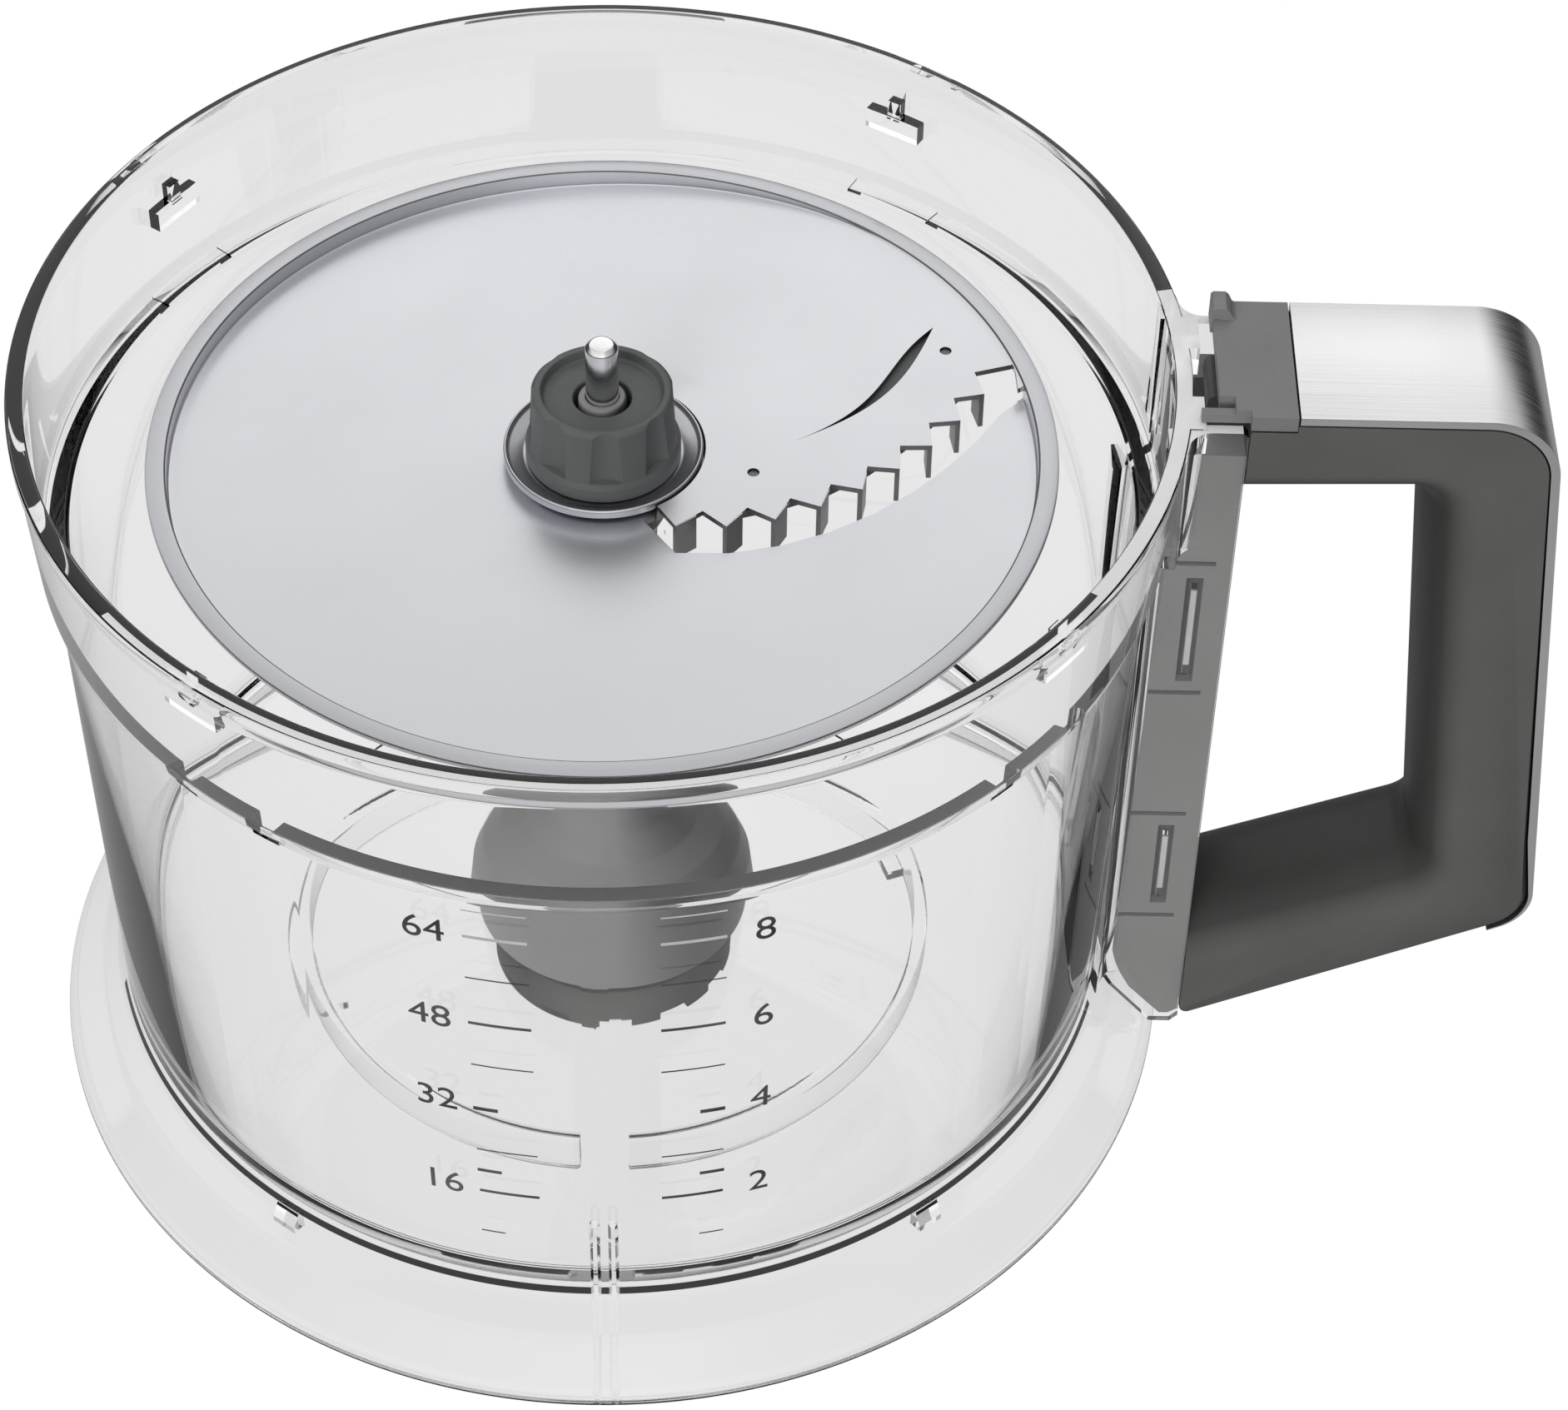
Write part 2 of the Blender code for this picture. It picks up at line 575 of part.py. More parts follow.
def make_stem():
    """The lift-out plastic stem, hollow below, that carries the disc."""
    socket_r = SHAFT_R + 2.6
    outside = [(BOSS_R - 0.5, 137.3), (BOSS_R, 136.8), (BOSS_R, STEM_SEAT_Z), (9.6, STEM_SEAT_Z),
               (10.4, STEM_SEAT_Z - 0.8), (10.4, 114.0), (8.6, 110.0), (8.9, 62.0), (10.0, 55.4),
               (14.2, 50.6), (18.6, 47.6), (21.6, 44.4), (23.2, STEM_SHOULDER_Z),
               (STEM_R, 33.0), (STEM_R, STEM_BOTTOM_Z + 0.8), (STEM_R - 0.8, STEM_BOTTOM_Z)]
    inside = [(STEM_R - 2.2, STEM_BOTTOM_Z), (STEM_R - 2.4, 33.0), (20.6, 40.0), (15.6, 46.6),
              (socket_r, 46.6), (socket_r, 61.0), (PIN_R + 0.05, 61.0), (PIN_R + 0.05, 137.3)]
    turned("drive_stem", outside + inside, GREY, 40)
    bore = SHAFT_R + 0.1
    turned("stem_socket", [(socket_r - 0.1, 60.6), (socket_r - 0.1, 46.8), (bore, 46.8),
                           (bore, 60.6)], STEEL, 40)
    turned("drive_pin", [(0.0, PIN_TOP_Z), (PIN_R - 0.7, PIN_TOP_Z), (PIN_R, PIN_TOP_Z - 0.7),
                         (PIN_R, 112.0), (0.0, 112.0)], SHINY, 32)


# ---------------------------------------------------------------- disc

def tooth_places():
    """Radius and angle of each tooth's leading corner; each sits one step further round."""
    degrees = TOOTH_FIRST_DEG
    for i in range(TEETH):
        radius = TOOTH_FIRST_R + TOOTH_PITCH * i
        yield radius, degrees
        degrees += math.degrees(TOOTH_STEP / radius)


def stair_edge():
    """The blade's cutting edge: out along a radius to a tooth, then back along its circle."""
    edge = [polar(FLANGE_R - 2.0, TOOTH_FIRST_DEG)]
    for radius, degrees in tooth_places():
        set_back = degrees + math.degrees(TOOTH_STEP / radius)
        edge += [polar(radius, degrees), polar(radius, set_back)]
    edge.append(polar(DISC_R, set_back))
    return edge


def slot_front():
    """The plate's edge in front of the teeth, an even gap ahead of their leading corners."""
    front = []
    places = list(tooth_places())
    for i, (radius, degrees) in enumerate(places):
        ahead = Vector(polar(*places[min(i + 1, TEETH - 1)])) - Vector(polar(*places[max(i - 1, 0)]))
        normal = Vector((ahead.y, -ahead.x)).normalized()
        point = Vector(polar(radius, degrees)) + normal * SLOT_WIDTH
        front.append((point.x, point.y))
    return front


def under_plateau():
    """The hole in the flat plate: the slot in front of the teeth and all that the plateau covers."""
    hole = [polar(17.6, -62.0)]
    hole += slot_front()
    hole.append(polar(GROOVE_R - 0.6, 14.6))
    hole += [polar(GROOVE_R - 0.6, 14.6 + 28.0 * k / 6) for k in range(1, 7)]
    hole += [polar(17.6, 42.6 - 104.6 * k / 8) for k in range(0, 8)]
    return hole


def plateau_height(degrees):
    """Top of the plateau: level at the blade, easing down to the plate behind."""
    share = (degrees - RAMP_START_DEG) / (RAMP_END_DEG - RAMP_START_DEG)
    share = min(max(share, 0.0), 1.0)
    ease = share * share * (3.0 - 2.0 * share)
    end = DISC_TOP_Z - 0.2
    return PLATEAU_Z + (end - PLATEAU_Z) * ease


def make_plateau():
    """The raised sheet, a fan of strips between the hub and the rim, given its thickness."""
    first, last, strips = TOOTH_FIRST_DEG - 1.0, RAMP_END_DEG, 40
    inner, outer = FLANGE_R + 0.5, GROOVE_R + 0.4
    bm = bmesh.new()
    rows = []
    for i in range(strips + 1):
        degrees = first + (last - first) * i / strips
        z = plateau_height(degrees) * MM
        ends = [polar(inner, degrees), polar(outer, degrees)]
        rows.append([bm.verts.new((x * MM, y * MM, z)) for x, y in ends])
    for near, far in zip(rows, rows[1:]):
        bm.faces.new((near[0], near[1], far[1], far[0]))
    plateau = add_object("plateau_tool", mesh_from(bm, "plateau_tool"), None, collection=CUTTERS)
    thick = plateau.modifiers.new("thickness", "SOLIDIFY")
    thick.thickness = DISC_T * MM
    thick.offset = -1.0
    thick.use_even_offset = True
    far = 1.5 * DISC_R
    edge = stair_edge()
    ahead = [polar(far, end) for end in (-90.0, -40.0, math.degrees(math.atan2(*edge[-1][::-1])))]
    stairs = flat_plate("stair_tool", [edge + ahead[::-1]], DISC_TOP_Z - 4, DISC_RIM_Z + 3, None,
                        collection=CUTTERS)
    cut(plateau, stairs)
    return plateau


def crescent_outline():
    """The slot behind the blade: two arcs that meet at sharp ends."""
    start, end = Vector((29.7, 1.6)), Vector((53.7, 31.3))
    along = end - start
    sideways = Vector((along.y, -along.x)).normalized()
    steps = 14
    near = [start + along * (k / steps) + sideways * (4.5 * math.sin(math.pi * k / steps))
            for k in range(steps + 1)]
    far = [near[k] - sideways * (2.5 * math.sin(math.pi * (k / steps) ** 2))
           for k in range(steps - 1, 0, -1)]
    return [(p.x, p.y) for p in near + far]


def teeth_shapes(bm):
    """The upright teeth, each along its own circle and hanging from the plateau's edge."""
    for radius, degrees in tooth_places():
        turn = degrees + math.degrees(TOOTH_LENGTH / 2 / radius)
        half = TOOTH_LENGTH / 2
        add_box(bm, (radius - TOOTH_T, -half, TOOTH_BOTTOM_Z), (radius, half, PLATEAU_Z - 0.1), turn)


RIVETS = {"inner": (24.4, -5.4), "outer": (55.7, 25.4)}


def make_disc():
    under = DISC_TOP_Z - DISC_T
    profile = [(DISC_R - 0.4, DISC_RIM_Z), (DISC_R, DISC_RIM_Z - 0.4), (DISC_R, DISC_RIM_Z - 1.2),
               (GROOVE_R + 1.0, DISC_RIM_Z - 1.4), (GROOVE_R + 0.8, under), (9.0, under),
               (9.0, DISC_TOP_Z), (GROOVE_R - 0.6, DISC_TOP_Z), (GROOVE_R, DISC_TOP_Z + 0.6),
               (GROOVE_R, DISC_RIM_Z - 0.3), (GROOVE_R + 0.4, DISC_RIM_Z)]
    disc = turned("disc_plate", profile, STEEL, 72)
    cut(disc, flat_plate("slot_tool", [under_plateau()], under - 2, DISC_TOP_Z + 1, None,
                         collection=CUTTERS))
    join(disc, make_plateau())
    join(disc, from_shapes("teeth_tool", None, teeth_shapes, collection=CUTTERS))
    cut(disc, flat_plate("crescent_tool", [crescent_outline()], under - 1, DISC_RIM_Z + 1, None,
                         collection=CUTTERS))

    def rivet_holes(bm):
        for x, y in RIVETS.values():
            add_rod(bm, x, y, 1.0, under - 1, DISC_RIM_Z + 1, 16)
    cut(disc, from_shapes("rivet_hole_tool", None, rivet_holes, collection=CUTTERS))


def make_carrier():
    """The dark plastic bed under the plateau that the two rivets hold, with a pad at each."""
    inner, outer = Vector(RIVETS["inner"]), Vector(RIVETS["outer"])
    rear = [(52.6, 34.0), (44.6, 27.6), (35.0, 13.6), (26.2, 3.6), (20.6, -1.4)]
    front = [(22.0, -10.4), (28.6, -8.2), (36.4, -4.6), (43.2, 0.6), (48.8, 6.4), (53.6, 12.6),
             (58.4, 19.8), (60.6, 27.0)]
    low, high = 120.6, PLATEAU_Z - DISC_T - GAP
    carrier = flat_plate("blade_carrier", [front + rear], low, high, KNOB)

    def holes(bm):
        for x, y in (inner, outer):
            add_rod(bm, x, y, 1.0, low - 1, high + 1, 16)
    cut(carrier, from_shapes("carrier_hole_tool", None, holes, collection=CUTTERS))


def make_rivets():
    for place, (x, y) in RIVETS.items():
        def build(bm, x=x, y=y):
            add_rod(bm, x, y, 0.95, 119.4, PLATEAU_Z - 0.2, 16)
        rivet = from_shapes("blade_rivet_" + place, SHINY, build)
        head = from_shapes("rivet_head_tool_" + place, None, lambda bm, x=x, y=y: add_rod(
            bm, x, y, 1.8, 119.2, 120.3, 16), collection=CUTTERS)
        join(rivet, head)


def make_hub():
    turned("hub_flange", [(FLANGE_R - 0.5, 127.0), (FLANGE_R, 126.5), (FLANGE_R, 125.6),
                          (FLANGE_R - 0.5, 125.1), (14.6, 124.2), (13.4, DISC_TOP_Z + GAP),
                          (6.4, DISC_TOP_Z + GAP), (6.4, KNOB_BASE_Z - GAP),
                          (13.0, KNOB_BASE_Z - GAP), (14.6, 126.0)], SHINY, 48)
    turned("hub_base", [(14.0, DISC_TOP_Z - DISC_T - GAP), (14.0, 120.6),
                        (10.8, STEM_SEAT_Z + GAP), (BOSS_R + 0.3, STEM_SEAT_Z + GAP),
                        (BOSS_R + 0.3, DISC_TOP_Z - DISC_T - GAP)], KNOB, 48)
    knob = turned("hub_knob", [
        (KNOB_R - 0.7, KNOB_TOP_Z), (KNOB_R - 0.1, KNOB_TOP_Z - 0.6), (KNOB_R + 0.5, 128.9),
        (KNOB_BASE_R - 0.3, 128.5), (KNOB_BASE_R, 127.9), (KNOB_BASE_R, KNOB_BASE_Z + 0.3),
        (KNOB_BASE_R - 0.3, KNOB_BASE_Z), (KNOB_HOLE_R, KNOB_BASE_Z), (KNOB_HOLE_R, 137.0),
        (9.3, 137.0), (9.6, 137.3), (9.9, KNOB_TOP_Z)], KNOB, 48)
    cut(knob, from_shapes("flute_tool", None, knob_flutes, collection=CUTTERS))


def knob_flutes(bm):
    for i in range(KNOB_FLUTES):
        x, y = polar(15.0, KNOB_FLUTE_DEG + 360.0 * i / KNOB_FLUTES)
        add_rod(bm, x, y, 4.2, 128.7, KNOB_TOP_Z + 2, 20)


make_bowl()
make_core()
make_strip()
make_cap()
make_spine()
make_push_rod()
make_spring()
make_lever()
make_drive()
make_stem()
make_disc()
make_carrier()
make_rivets()
make_hub()
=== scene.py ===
"""The looks of a clear food processor bowl with its julienne disc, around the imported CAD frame."""

import math

import bmesh
import bpy
from mathutils import Matrix, Vector


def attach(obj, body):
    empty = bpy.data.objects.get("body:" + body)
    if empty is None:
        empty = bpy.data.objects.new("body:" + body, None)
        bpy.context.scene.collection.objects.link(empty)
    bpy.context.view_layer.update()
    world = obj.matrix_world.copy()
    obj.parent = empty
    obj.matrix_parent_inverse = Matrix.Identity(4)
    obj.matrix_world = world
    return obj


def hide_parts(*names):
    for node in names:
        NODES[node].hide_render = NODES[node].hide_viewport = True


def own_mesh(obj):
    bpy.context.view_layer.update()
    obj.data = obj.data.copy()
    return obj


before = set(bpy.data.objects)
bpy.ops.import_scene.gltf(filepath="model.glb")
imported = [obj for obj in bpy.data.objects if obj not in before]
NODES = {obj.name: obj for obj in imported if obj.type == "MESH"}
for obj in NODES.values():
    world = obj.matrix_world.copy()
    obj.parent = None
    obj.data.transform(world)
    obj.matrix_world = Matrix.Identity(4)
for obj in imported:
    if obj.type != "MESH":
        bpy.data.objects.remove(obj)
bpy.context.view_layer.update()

MM = 0.001
AXIS_X = -31.45                # the bowl's axis in the frame, in mm
STEPS = 288                    # sides of the round pieces
CLEAR_IOR = 1.47


# ---------------------------------------------------------------- mesh helpers

def polar(radius, degrees):
    return radius * math.cos(math.radians(degrees)), radius * math.sin(math.radians(degrees))


def rounded(points, radii, segments=6):
    """A closed outline with an arc at each corner whose radius isn't 0."""
    outline = []
    for i, (corner, radius) in enumerate(zip(points, radii)):
        here = Vector(corner)
        before = Vector(points[i - 1]) - here
        after = Vector(points[(i + 1) % len(points)]) - here
        half = before.angle(after) / 2
        if radius == 0 or half > math.radians(89.5):
            outline.append((here.x, here.y))
            continue
        reach = min(radius / math.tan(half), 0.48 * before.length, 0.48 * after.length)
        radius = reach * math.tan(half)
        back, ahead = before.normalized(), after.normalized()
        centre = here + (back + ahead).normalized() * (radius / math.sin(half))
        start, end = here + back * reach, here + ahead * reach
        for k in range(segments + 1):
            arm = (start - centre).lerp(end - centre, k / segments).normalized() * radius
            outline.append((centre.x + arm.x, centre.y + arm.y))
    return outline


def mesh_object(name, bm):
    """An object in the row frame from a mesh in mm about the bowl's axis."""
    bmesh.ops.recalc_face_normals(bm, faces=bm.faces)
    for vert in bm.verts:
        vert.co = Vector((vert.co.x + AXIS_X, vert.co.y, vert.co.z)) * MM
    mesh = bpy.data.meshes.new(name)
    bm.to_mesh(mesh)
    bm.free()
    obj = bpy.data.objects.new(name, mesh)
    bpy.context.scene.collection.objects.link(obj)
    return obj


def lathe_mesh(profile, steps=STEPS):
    """A closed (radius, z) profile turned about the axis; radius 0 closes on the axis."""
    bm = bmesh.new()
    rings = []
    for radius, z in profile:
        if radius == 0:
            rings.append([bm.verts.new((0.0, 0.0, z))])
        else:
            turns = [360.0 * k / steps for k in range(steps)]
            rings.append([bm.verts.new((*polar(radius, turn), z)) for turn in turns])
    open_ends = profile[0][0] == 0 and profile[-1][0] == 0
    last = len(rings) - 1 if open_ends else len(rings)
    for i in range(last):
        a, b = rings[i], rings[(i + 1) % len(rings)]
        for k in range(steps):
            n = (k + 1) % steps
            if len(a) == 1:
                bm.faces.new((a[0], b[n], b[k]))
            elif len(b) == 1:
                bm.faces.new((a[k], a[n], b[0]))
            else:
                bm.faces.new((a[k], a[n], b[n], b[k]))
    return bm


def loft_mesh(rings):
    """A closed body through outlines of (x, y, z) points that all have the same count."""
    bm = bmesh.new()
    rows = [[bm.verts.new(point) for point in ring] for ring in rings]
    for near, far in zip(rows, rows[1:]):
        for i in range(len(near)):
            j = (i + 1) % len(near)
            bm.faces.new((near[i], near[j], far[j], far[i]))
    bm.faces.new(rows[0])
    bm.faces.new(rows[-1][::-1])
    return bm


def slab_mesh(outline, low, high, plane="xy"):
    """A flat outline with thickness; plane xy is raised along Z, xz along Y."""
    bm = bmesh.new()
    place = (lambda u, v, w: (u, v, w)) if plane == "xy" else (lambda u, v, w: (u, w, v))
    bottom = [bm.verts.new(place(u, v, low)) for u, v in outline]
    top = [bm.verts.new(place(u, v, high)) for u, v in outline]
    bm.faces.new(bottom)
    bm.faces.new(top[::-1])
    for i in range(len(outline)):
        j = (i + 1) % len(outline)
        bm.faces.new((bottom[i], bottom[j], top[j], top[i]))
    return bm


def slab(name, outline, low, high, plane="xy"):
    return mesh_object(name, slab_mesh(outline, low, high, plane))


def box_mesh(low, high, turn_deg=0.0, bm=None):
    bm = bm or bmesh.new()
    made = bmesh.ops.create_cube(bm, size=1.0)["verts"]
    turn = Matrix.Rotation(math.radians(turn_deg), 3, "Z")
    for vert in made:
        place = Vector([lo + (c + 0.5) * (hi - lo) for c, lo, hi in zip(vert.co, low, high)])
        vert.co = turn @ place
    return bm


def rod_mesh(x, y, radius, z_low, z_high, sides=48):
    bm = bmesh.new()
    made = bmesh.ops.create_cone(bm, cap_ends=True, segments=sides, radius1=radius, radius2=radius,
                                 depth=z_high - z_low)["verts"]
    bmesh.ops.translate(bm, verts=made, vec=(x, y, (z_low + z_high) / 2))
    return bm


def combine(target, tool, operation="UNION"):
    """A boolean applied at once; the tool goes."""
    modifier = target.modifiers.new("combine", "BOOLEAN")
    modifier.operation = operation
    modifier.solver = "MANIFOLD"
    modifier.object = tool
    apply_modifiers(target)
    bpy.data.objects.remove(tool, do_unlink=True)


def cut(target, tool):
    combine(target, tool, "DIFFERENCE")


def apply_modifiers(obj):
    depsgraph = bpy.context.evaluated_depsgraph_get()
    mesh = bpy.data.meshes.new_from_object(obj.evaluated_get(depsgraph))
    obj.modifiers.clear()
    obj.data = mesh


def smooth(obj, degrees=32.0):
    for face in obj.data.polygons:
        face.use_smooth = True
    obj.data.set_sharp_from_angle(angle=math.radians(degrees))


def bevel(obj, width, segments=3, degrees=40.0):
    modifier = obj.modifiers.new("bevel", "BEVEL")
    modifier.width = width * MM
    modifier.segments = segments
    modifier.limit_method = "ANGLE"
    modifier.angle_limit = math.radians(degrees)


# ---------------------------------------------------------------- materials

def new_material(name):
    mat = bpy.data.materials.new(name)
    mat.use_nodes = True
    return mat, mat.node_tree, mat.node_tree.nodes["Principled BSDF"]


def noise(tree, scale, stretch=(1.0, 1.0, 1.0), detail=3.0):
    """Noise in object coordinates; scale is cells per metre, and stretch makes it directional."""
    coords = tree.nodes.new("ShaderNodeTexCoord")
    mapping = tree.nodes.new("ShaderNodeMapping")
    mapping.inputs["Scale"].default_value = stretch
    texture = tree.nodes.new("ShaderNodeTexNoise")
    texture.inputs["Scale"].default_value = scale
    texture.inputs["Detail"].default_value = detail
    texture.inputs["Roughness"].default_value = 0.55
    tree.links.new(coords.outputs["Object"], mapping.inputs["Vector"])
    tree.links.new(mapping.outputs["Vector"], texture.inputs["Vector"])
    return texture.outputs["Fac"]


def remap(tree, value, low, high, from_low=0.3, from_high=0.7):
    node = tree.nodes.new("ShaderNodeMapRange")
    node.inputs["From Min"].default_value = from_low
    node.inputs["From Max"].default_value = from_high
    node.inputs["To Min"].default_value = low
    node.inputs["To Max"].default_value = high
    tree.links.new(value, node.inputs["Value"])
    return node.outputs["Result"]


def blend_colors(tree, factor, first, second):
    node = tree.nodes.new("ShaderNodeMix")
    node.data_type = "RGBA"
    node.inputs["A"].default_value = (*first, 1.0)
    node.inputs["B"].default_value = (*second, 1.0)
    tree.links.new(factor, node.inputs["Factor"])
    return node.outputs["Result"]


def add_bump(tree, shader, height, strength, distance):
    bump = tree.nodes.new("ShaderNodeBump")
    bump.inputs["Strength"].default_value = strength
    bump.inputs["Distance"].default_value = distance
    tree.links.new(height, bump.inputs["Height"])
    tree.links.new(bump.outputs["Normal"], shader.inputs["Normal"])


def metal(name, dark, light, rough, grain, stretch, bump, distance):
    """Steel whose colour and roughness follow a fine grain."""
    mat, tree, shader = new_material(name)
    fine = noise(tree, grain, stretch, 4.0)
    broad = noise(tree, 40.0)
    shader.inputs["Metallic"].default_value = 1.0
    color = blend_colors(tree, remap(tree, fine, 0.0, 1.0), dark, light)
    tree.links.new(color, shader.inputs["Base Color"])
    add = tree.nodes.new("ShaderNodeMath")
    add.operation = "ADD"
    tree.links.new(remap(tree, fine, rough[0], rough[1]), add.inputs[0])
    tree.links.new(remap(tree, broad, -0.02, 0.02), add.inputs[1])
    tree.links.new(add.outputs["Value"], shader.inputs["Roughness"])
    add_bump(tree, shader, fine, bump, distance)
    return mat


def plastic(name, dark, light, rough, grain=2200.0, bump=0.25, distance=0.00004):
    """Moulded plastic: a broad uneven colour under a fine texture."""
    mat, tree, shader = new_material(name)
    fine = noise(tree, grain, detail=2.0)
    broad = noise(tree, 60.0, detail=4.0)
    color = blend_colors(tree, remap(tree, broad, 0.0, 1.0), dark, light)
    tree.links.new(color, shader.inputs["Base Color"])
    tree.links.new(remap(tree, fine, rough[0], rough[1]), shader.inputs["Roughness"])
    add_bump(tree, shader, fine, bump, distance)
    return mat


def clear_material(name, level=1.0):
    """Clear moulded plastic: light from lamps and soft light pass through it."""
    mat, tree, shader = new_material(name)
    shader.inputs["Base Color"].default_value = (level, level, level, 1.0)
    shader.inputs["Transmission Weight"].default_value = 1.0
    shader.inputs["IOR"].default_value = CLEAR_IOR
    tree.links.new(remap(tree, noise(tree, 90.0), 0.0, 0.03), shader.inputs["Roughness"])
    add_bump(tree, shader, noise(tree, 25.0, detail=1.0), 0.02, 0.0004)
    clear = tree.nodes.new("ShaderNodeBsdfTransparent")
    clear.inputs["Color"].default_value = (0.985, 0.985, 0.985, 1.0)
    path = tree.nodes.new("ShaderNodeLightPath")
    either = larger(tree, path.outputs["Is Shadow Ray"], path.outputs["Is Diffuse Ray"])
    mix = tree.nodes.new("ShaderNodeMixShader")
    tree.links.new(either, mix.inputs["Fac"])
    tree.links.new(shader.outputs["BSDF"], mix.inputs[1])
    tree.links.new(clear.outputs["BSDF"], mix.inputs[2])
    tree.links.new(mix.outputs["Shader"], tree.nodes["Material Output"].inputs["Surface"])
    return mat


def edge_material(name):
    """The moulded rim's top: the same plastic, softly frosted white so that it shows bright, a
    painted highlight.
    """
    mat, tree, shader = new_material(name)
    shader.inputs["Base Color"].default_value = (1.0, 1.0, 1.0, 1.0)
    shader.inputs["Transmission Weight"].default_value = 0.22
    shader.inputs["IOR"].default_value = CLEAR_IOR
    tree.links.new(remap(tree, noise(tree, 300.0), 0.25, 0.4), shader.inputs["Roughness"])
    add_bump(tree, shader, noise(tree, 500.0), 0.06, 0.00005)
    return mat


def component(tree, vector, axis, operation):
    """One axis of a vector, as it is (MULTIPLY) or without its sign (ABSOLUTE)."""
    split = tree.nodes.new("ShaderNodeSeparateXYZ")
    size = tree.nodes.new("ShaderNodeMath")
    size.operation = operation
    size.inputs[1].default_value = 1.0
    tree.links.new(vector, split.inputs["Vector"])
    tree.links.new(split.outputs[axis], size.inputs[0])
    return size.outputs["Value"]


def facing(tree, axis, operation, from_low, from_high, low, high):
    """A value from how much the surface looks along one axis."""
    normal = tree.nodes.new("ShaderNodeNewGeometry").outputs["Normal"]
    return remap(tree, component(tree, normal, axis, operation), low, high, from_low, from_high)


def position(tree, axis, operation="MULTIPLY"):
    """Where the surface is along one axis of its object, in metres."""
    coords = tree.nodes.new("ShaderNodeTexCoord").outputs["Object"]
    return component(tree, coords, axis, operation)


def from_axis(tree):
    """The distance from the bowl's axis, in metres."""
    coords = tree.nodes.new("ShaderNodeTexCoord")
    level = tree.nodes.new("ShaderNodeMapping")
    level.inputs["Location"].default_value = (-AXIS_X * MM, 0.0, 0.0)
    level.inputs["Scale"].default_value = (1.0, 1.0, 0.0)
    size = tree.nodes.new("ShaderNodeVectorMath")
    size.operation = "LENGTH"
    tree.links.new(coords.outputs["Object"], level.inputs["Vector"])
    tree.links.new(level.outputs["Vector"], size.inputs[0])
    return size.outputs["Value"]


def larger(tree, first, second):
    node = tree.nodes.new("ShaderNodeMath")
    node.operation = "MAXIMUM"
    tree.links.new(first, node.inputs[0])
    tree.links.new(second, node.inputs[1])
    return node.outputs["Value"]


def shade(mat, factor):
    """Scales a material's colour by a value."""
    tree = mat.node_tree
    shader = tree.nodes["Principled BSDF"]
    color = shader.inputs["Base Color"].links[0].from_socket
    scale = tree.nodes.new("ShaderNodeVectorMath")
    scale.operation = "SCALE"
    tree.links.new(color, scale.inputs[0])
    tree.links.new(factor, scale.inputs["Scale"])
    tree.links.new(scale.outputs["Vector"], shader.inputs["Base Color"])
    return mat


EVEN = (1.0, 1.0, 1.0)         # a grain without direction
ALONG_Y = (0.22, 36.0, 0.22)   # a grain that brushing has drawn out
CLEAR = clear_material("clear_plastic")
# Nearly black clear plastic for painted dark lines that stand for dark reflections in the wall.
PAINTED_DARK_CLEAR = clear_material("clear_shaded", 0.002)
# Frosted white for the rim's painted highlight.
EDGE = edge_material("clear_edge")
BRUSHED = metal("brushed_strip", (0.73, 0.73, 0.74), (0.89, 0.89, 0.90), (0.22, 0.36),
                90.0, ALONG_Y, 0.25, 0.00002)
DISC_STEEL = metal("disc_steel", (0.67, 0.675, 0.71), (0.73, 0.735, 0.765), (0.30, 0.38),
                   4200.0, EVEN, 0.05, 0.00001)
# Dark steel for painted shade on the disc's upright cut faces and in the ring's groove.
DISC_SHADE_STEEL = metal("disc_shade_steel", (0.15, 0.15, 0.155), (0.2, 0.2, 0.205), (0.35, 0.45),
                  4200.0, EVEN, 0.05, 0.00001)
SHINY = metal("polished_steel", (0.78, 0.78, 0.79), (0.86, 0.86, 0.87), (0.10, 0.2),
              900.0, EVEN, 0.04, 0.00001)
CORE = plastic("handle_plastic", (0.105, 0.105, 0.101), (0.120, 0.120, 0.116), (0.5, 0.62), 2600.0)
CAP = plastic("cap_plastic", (0.185, 0.19, 0.186), (0.21, 0.215, 0.21), (0.45, 0.58))
SPINE = plastic("spine_plastic", (0.215, 0.215, 0.211), (0.24, 0.24, 0.236), (0.42, 0.56))
STEM = plastic("stem_plastic", (0.228, 0.228, 0.225), (0.258, 0.258, 0.255), (0.38, 0.5))
KNOB = plastic("knob_plastic", (0.088, 0.091, 0.091), (0.108, 0.112, 0.112), (0.42, 0.56))
LEVER = plastic("lever_plastic", (0.06, 0.06, 0.06), (0.08, 0.08, 0.08), (0.45, 0.6))
RUBBER = plastic("seal_rubber", (0.02, 0.02, 0.02), (0.035, 0.035, 0.035), (0.6, 0.75))
INK = plastic("scale_ink", (0.02, 0.02, 0.022), (0.12, 0.12, 0.122), (0.4, 0.6), 900.0, 0.05)
# Pale print for the upper scale marks; the spine's window bars use it as a painted highlight.
PALE_INK_AND_HIGHLIGHT = plastic("scale_ink_pale_and_highlight", (0.45, 0.45, 0.45), (0.75, 0.75, 0.75), (0.3, 0.5),
                   900.0, 0.05)


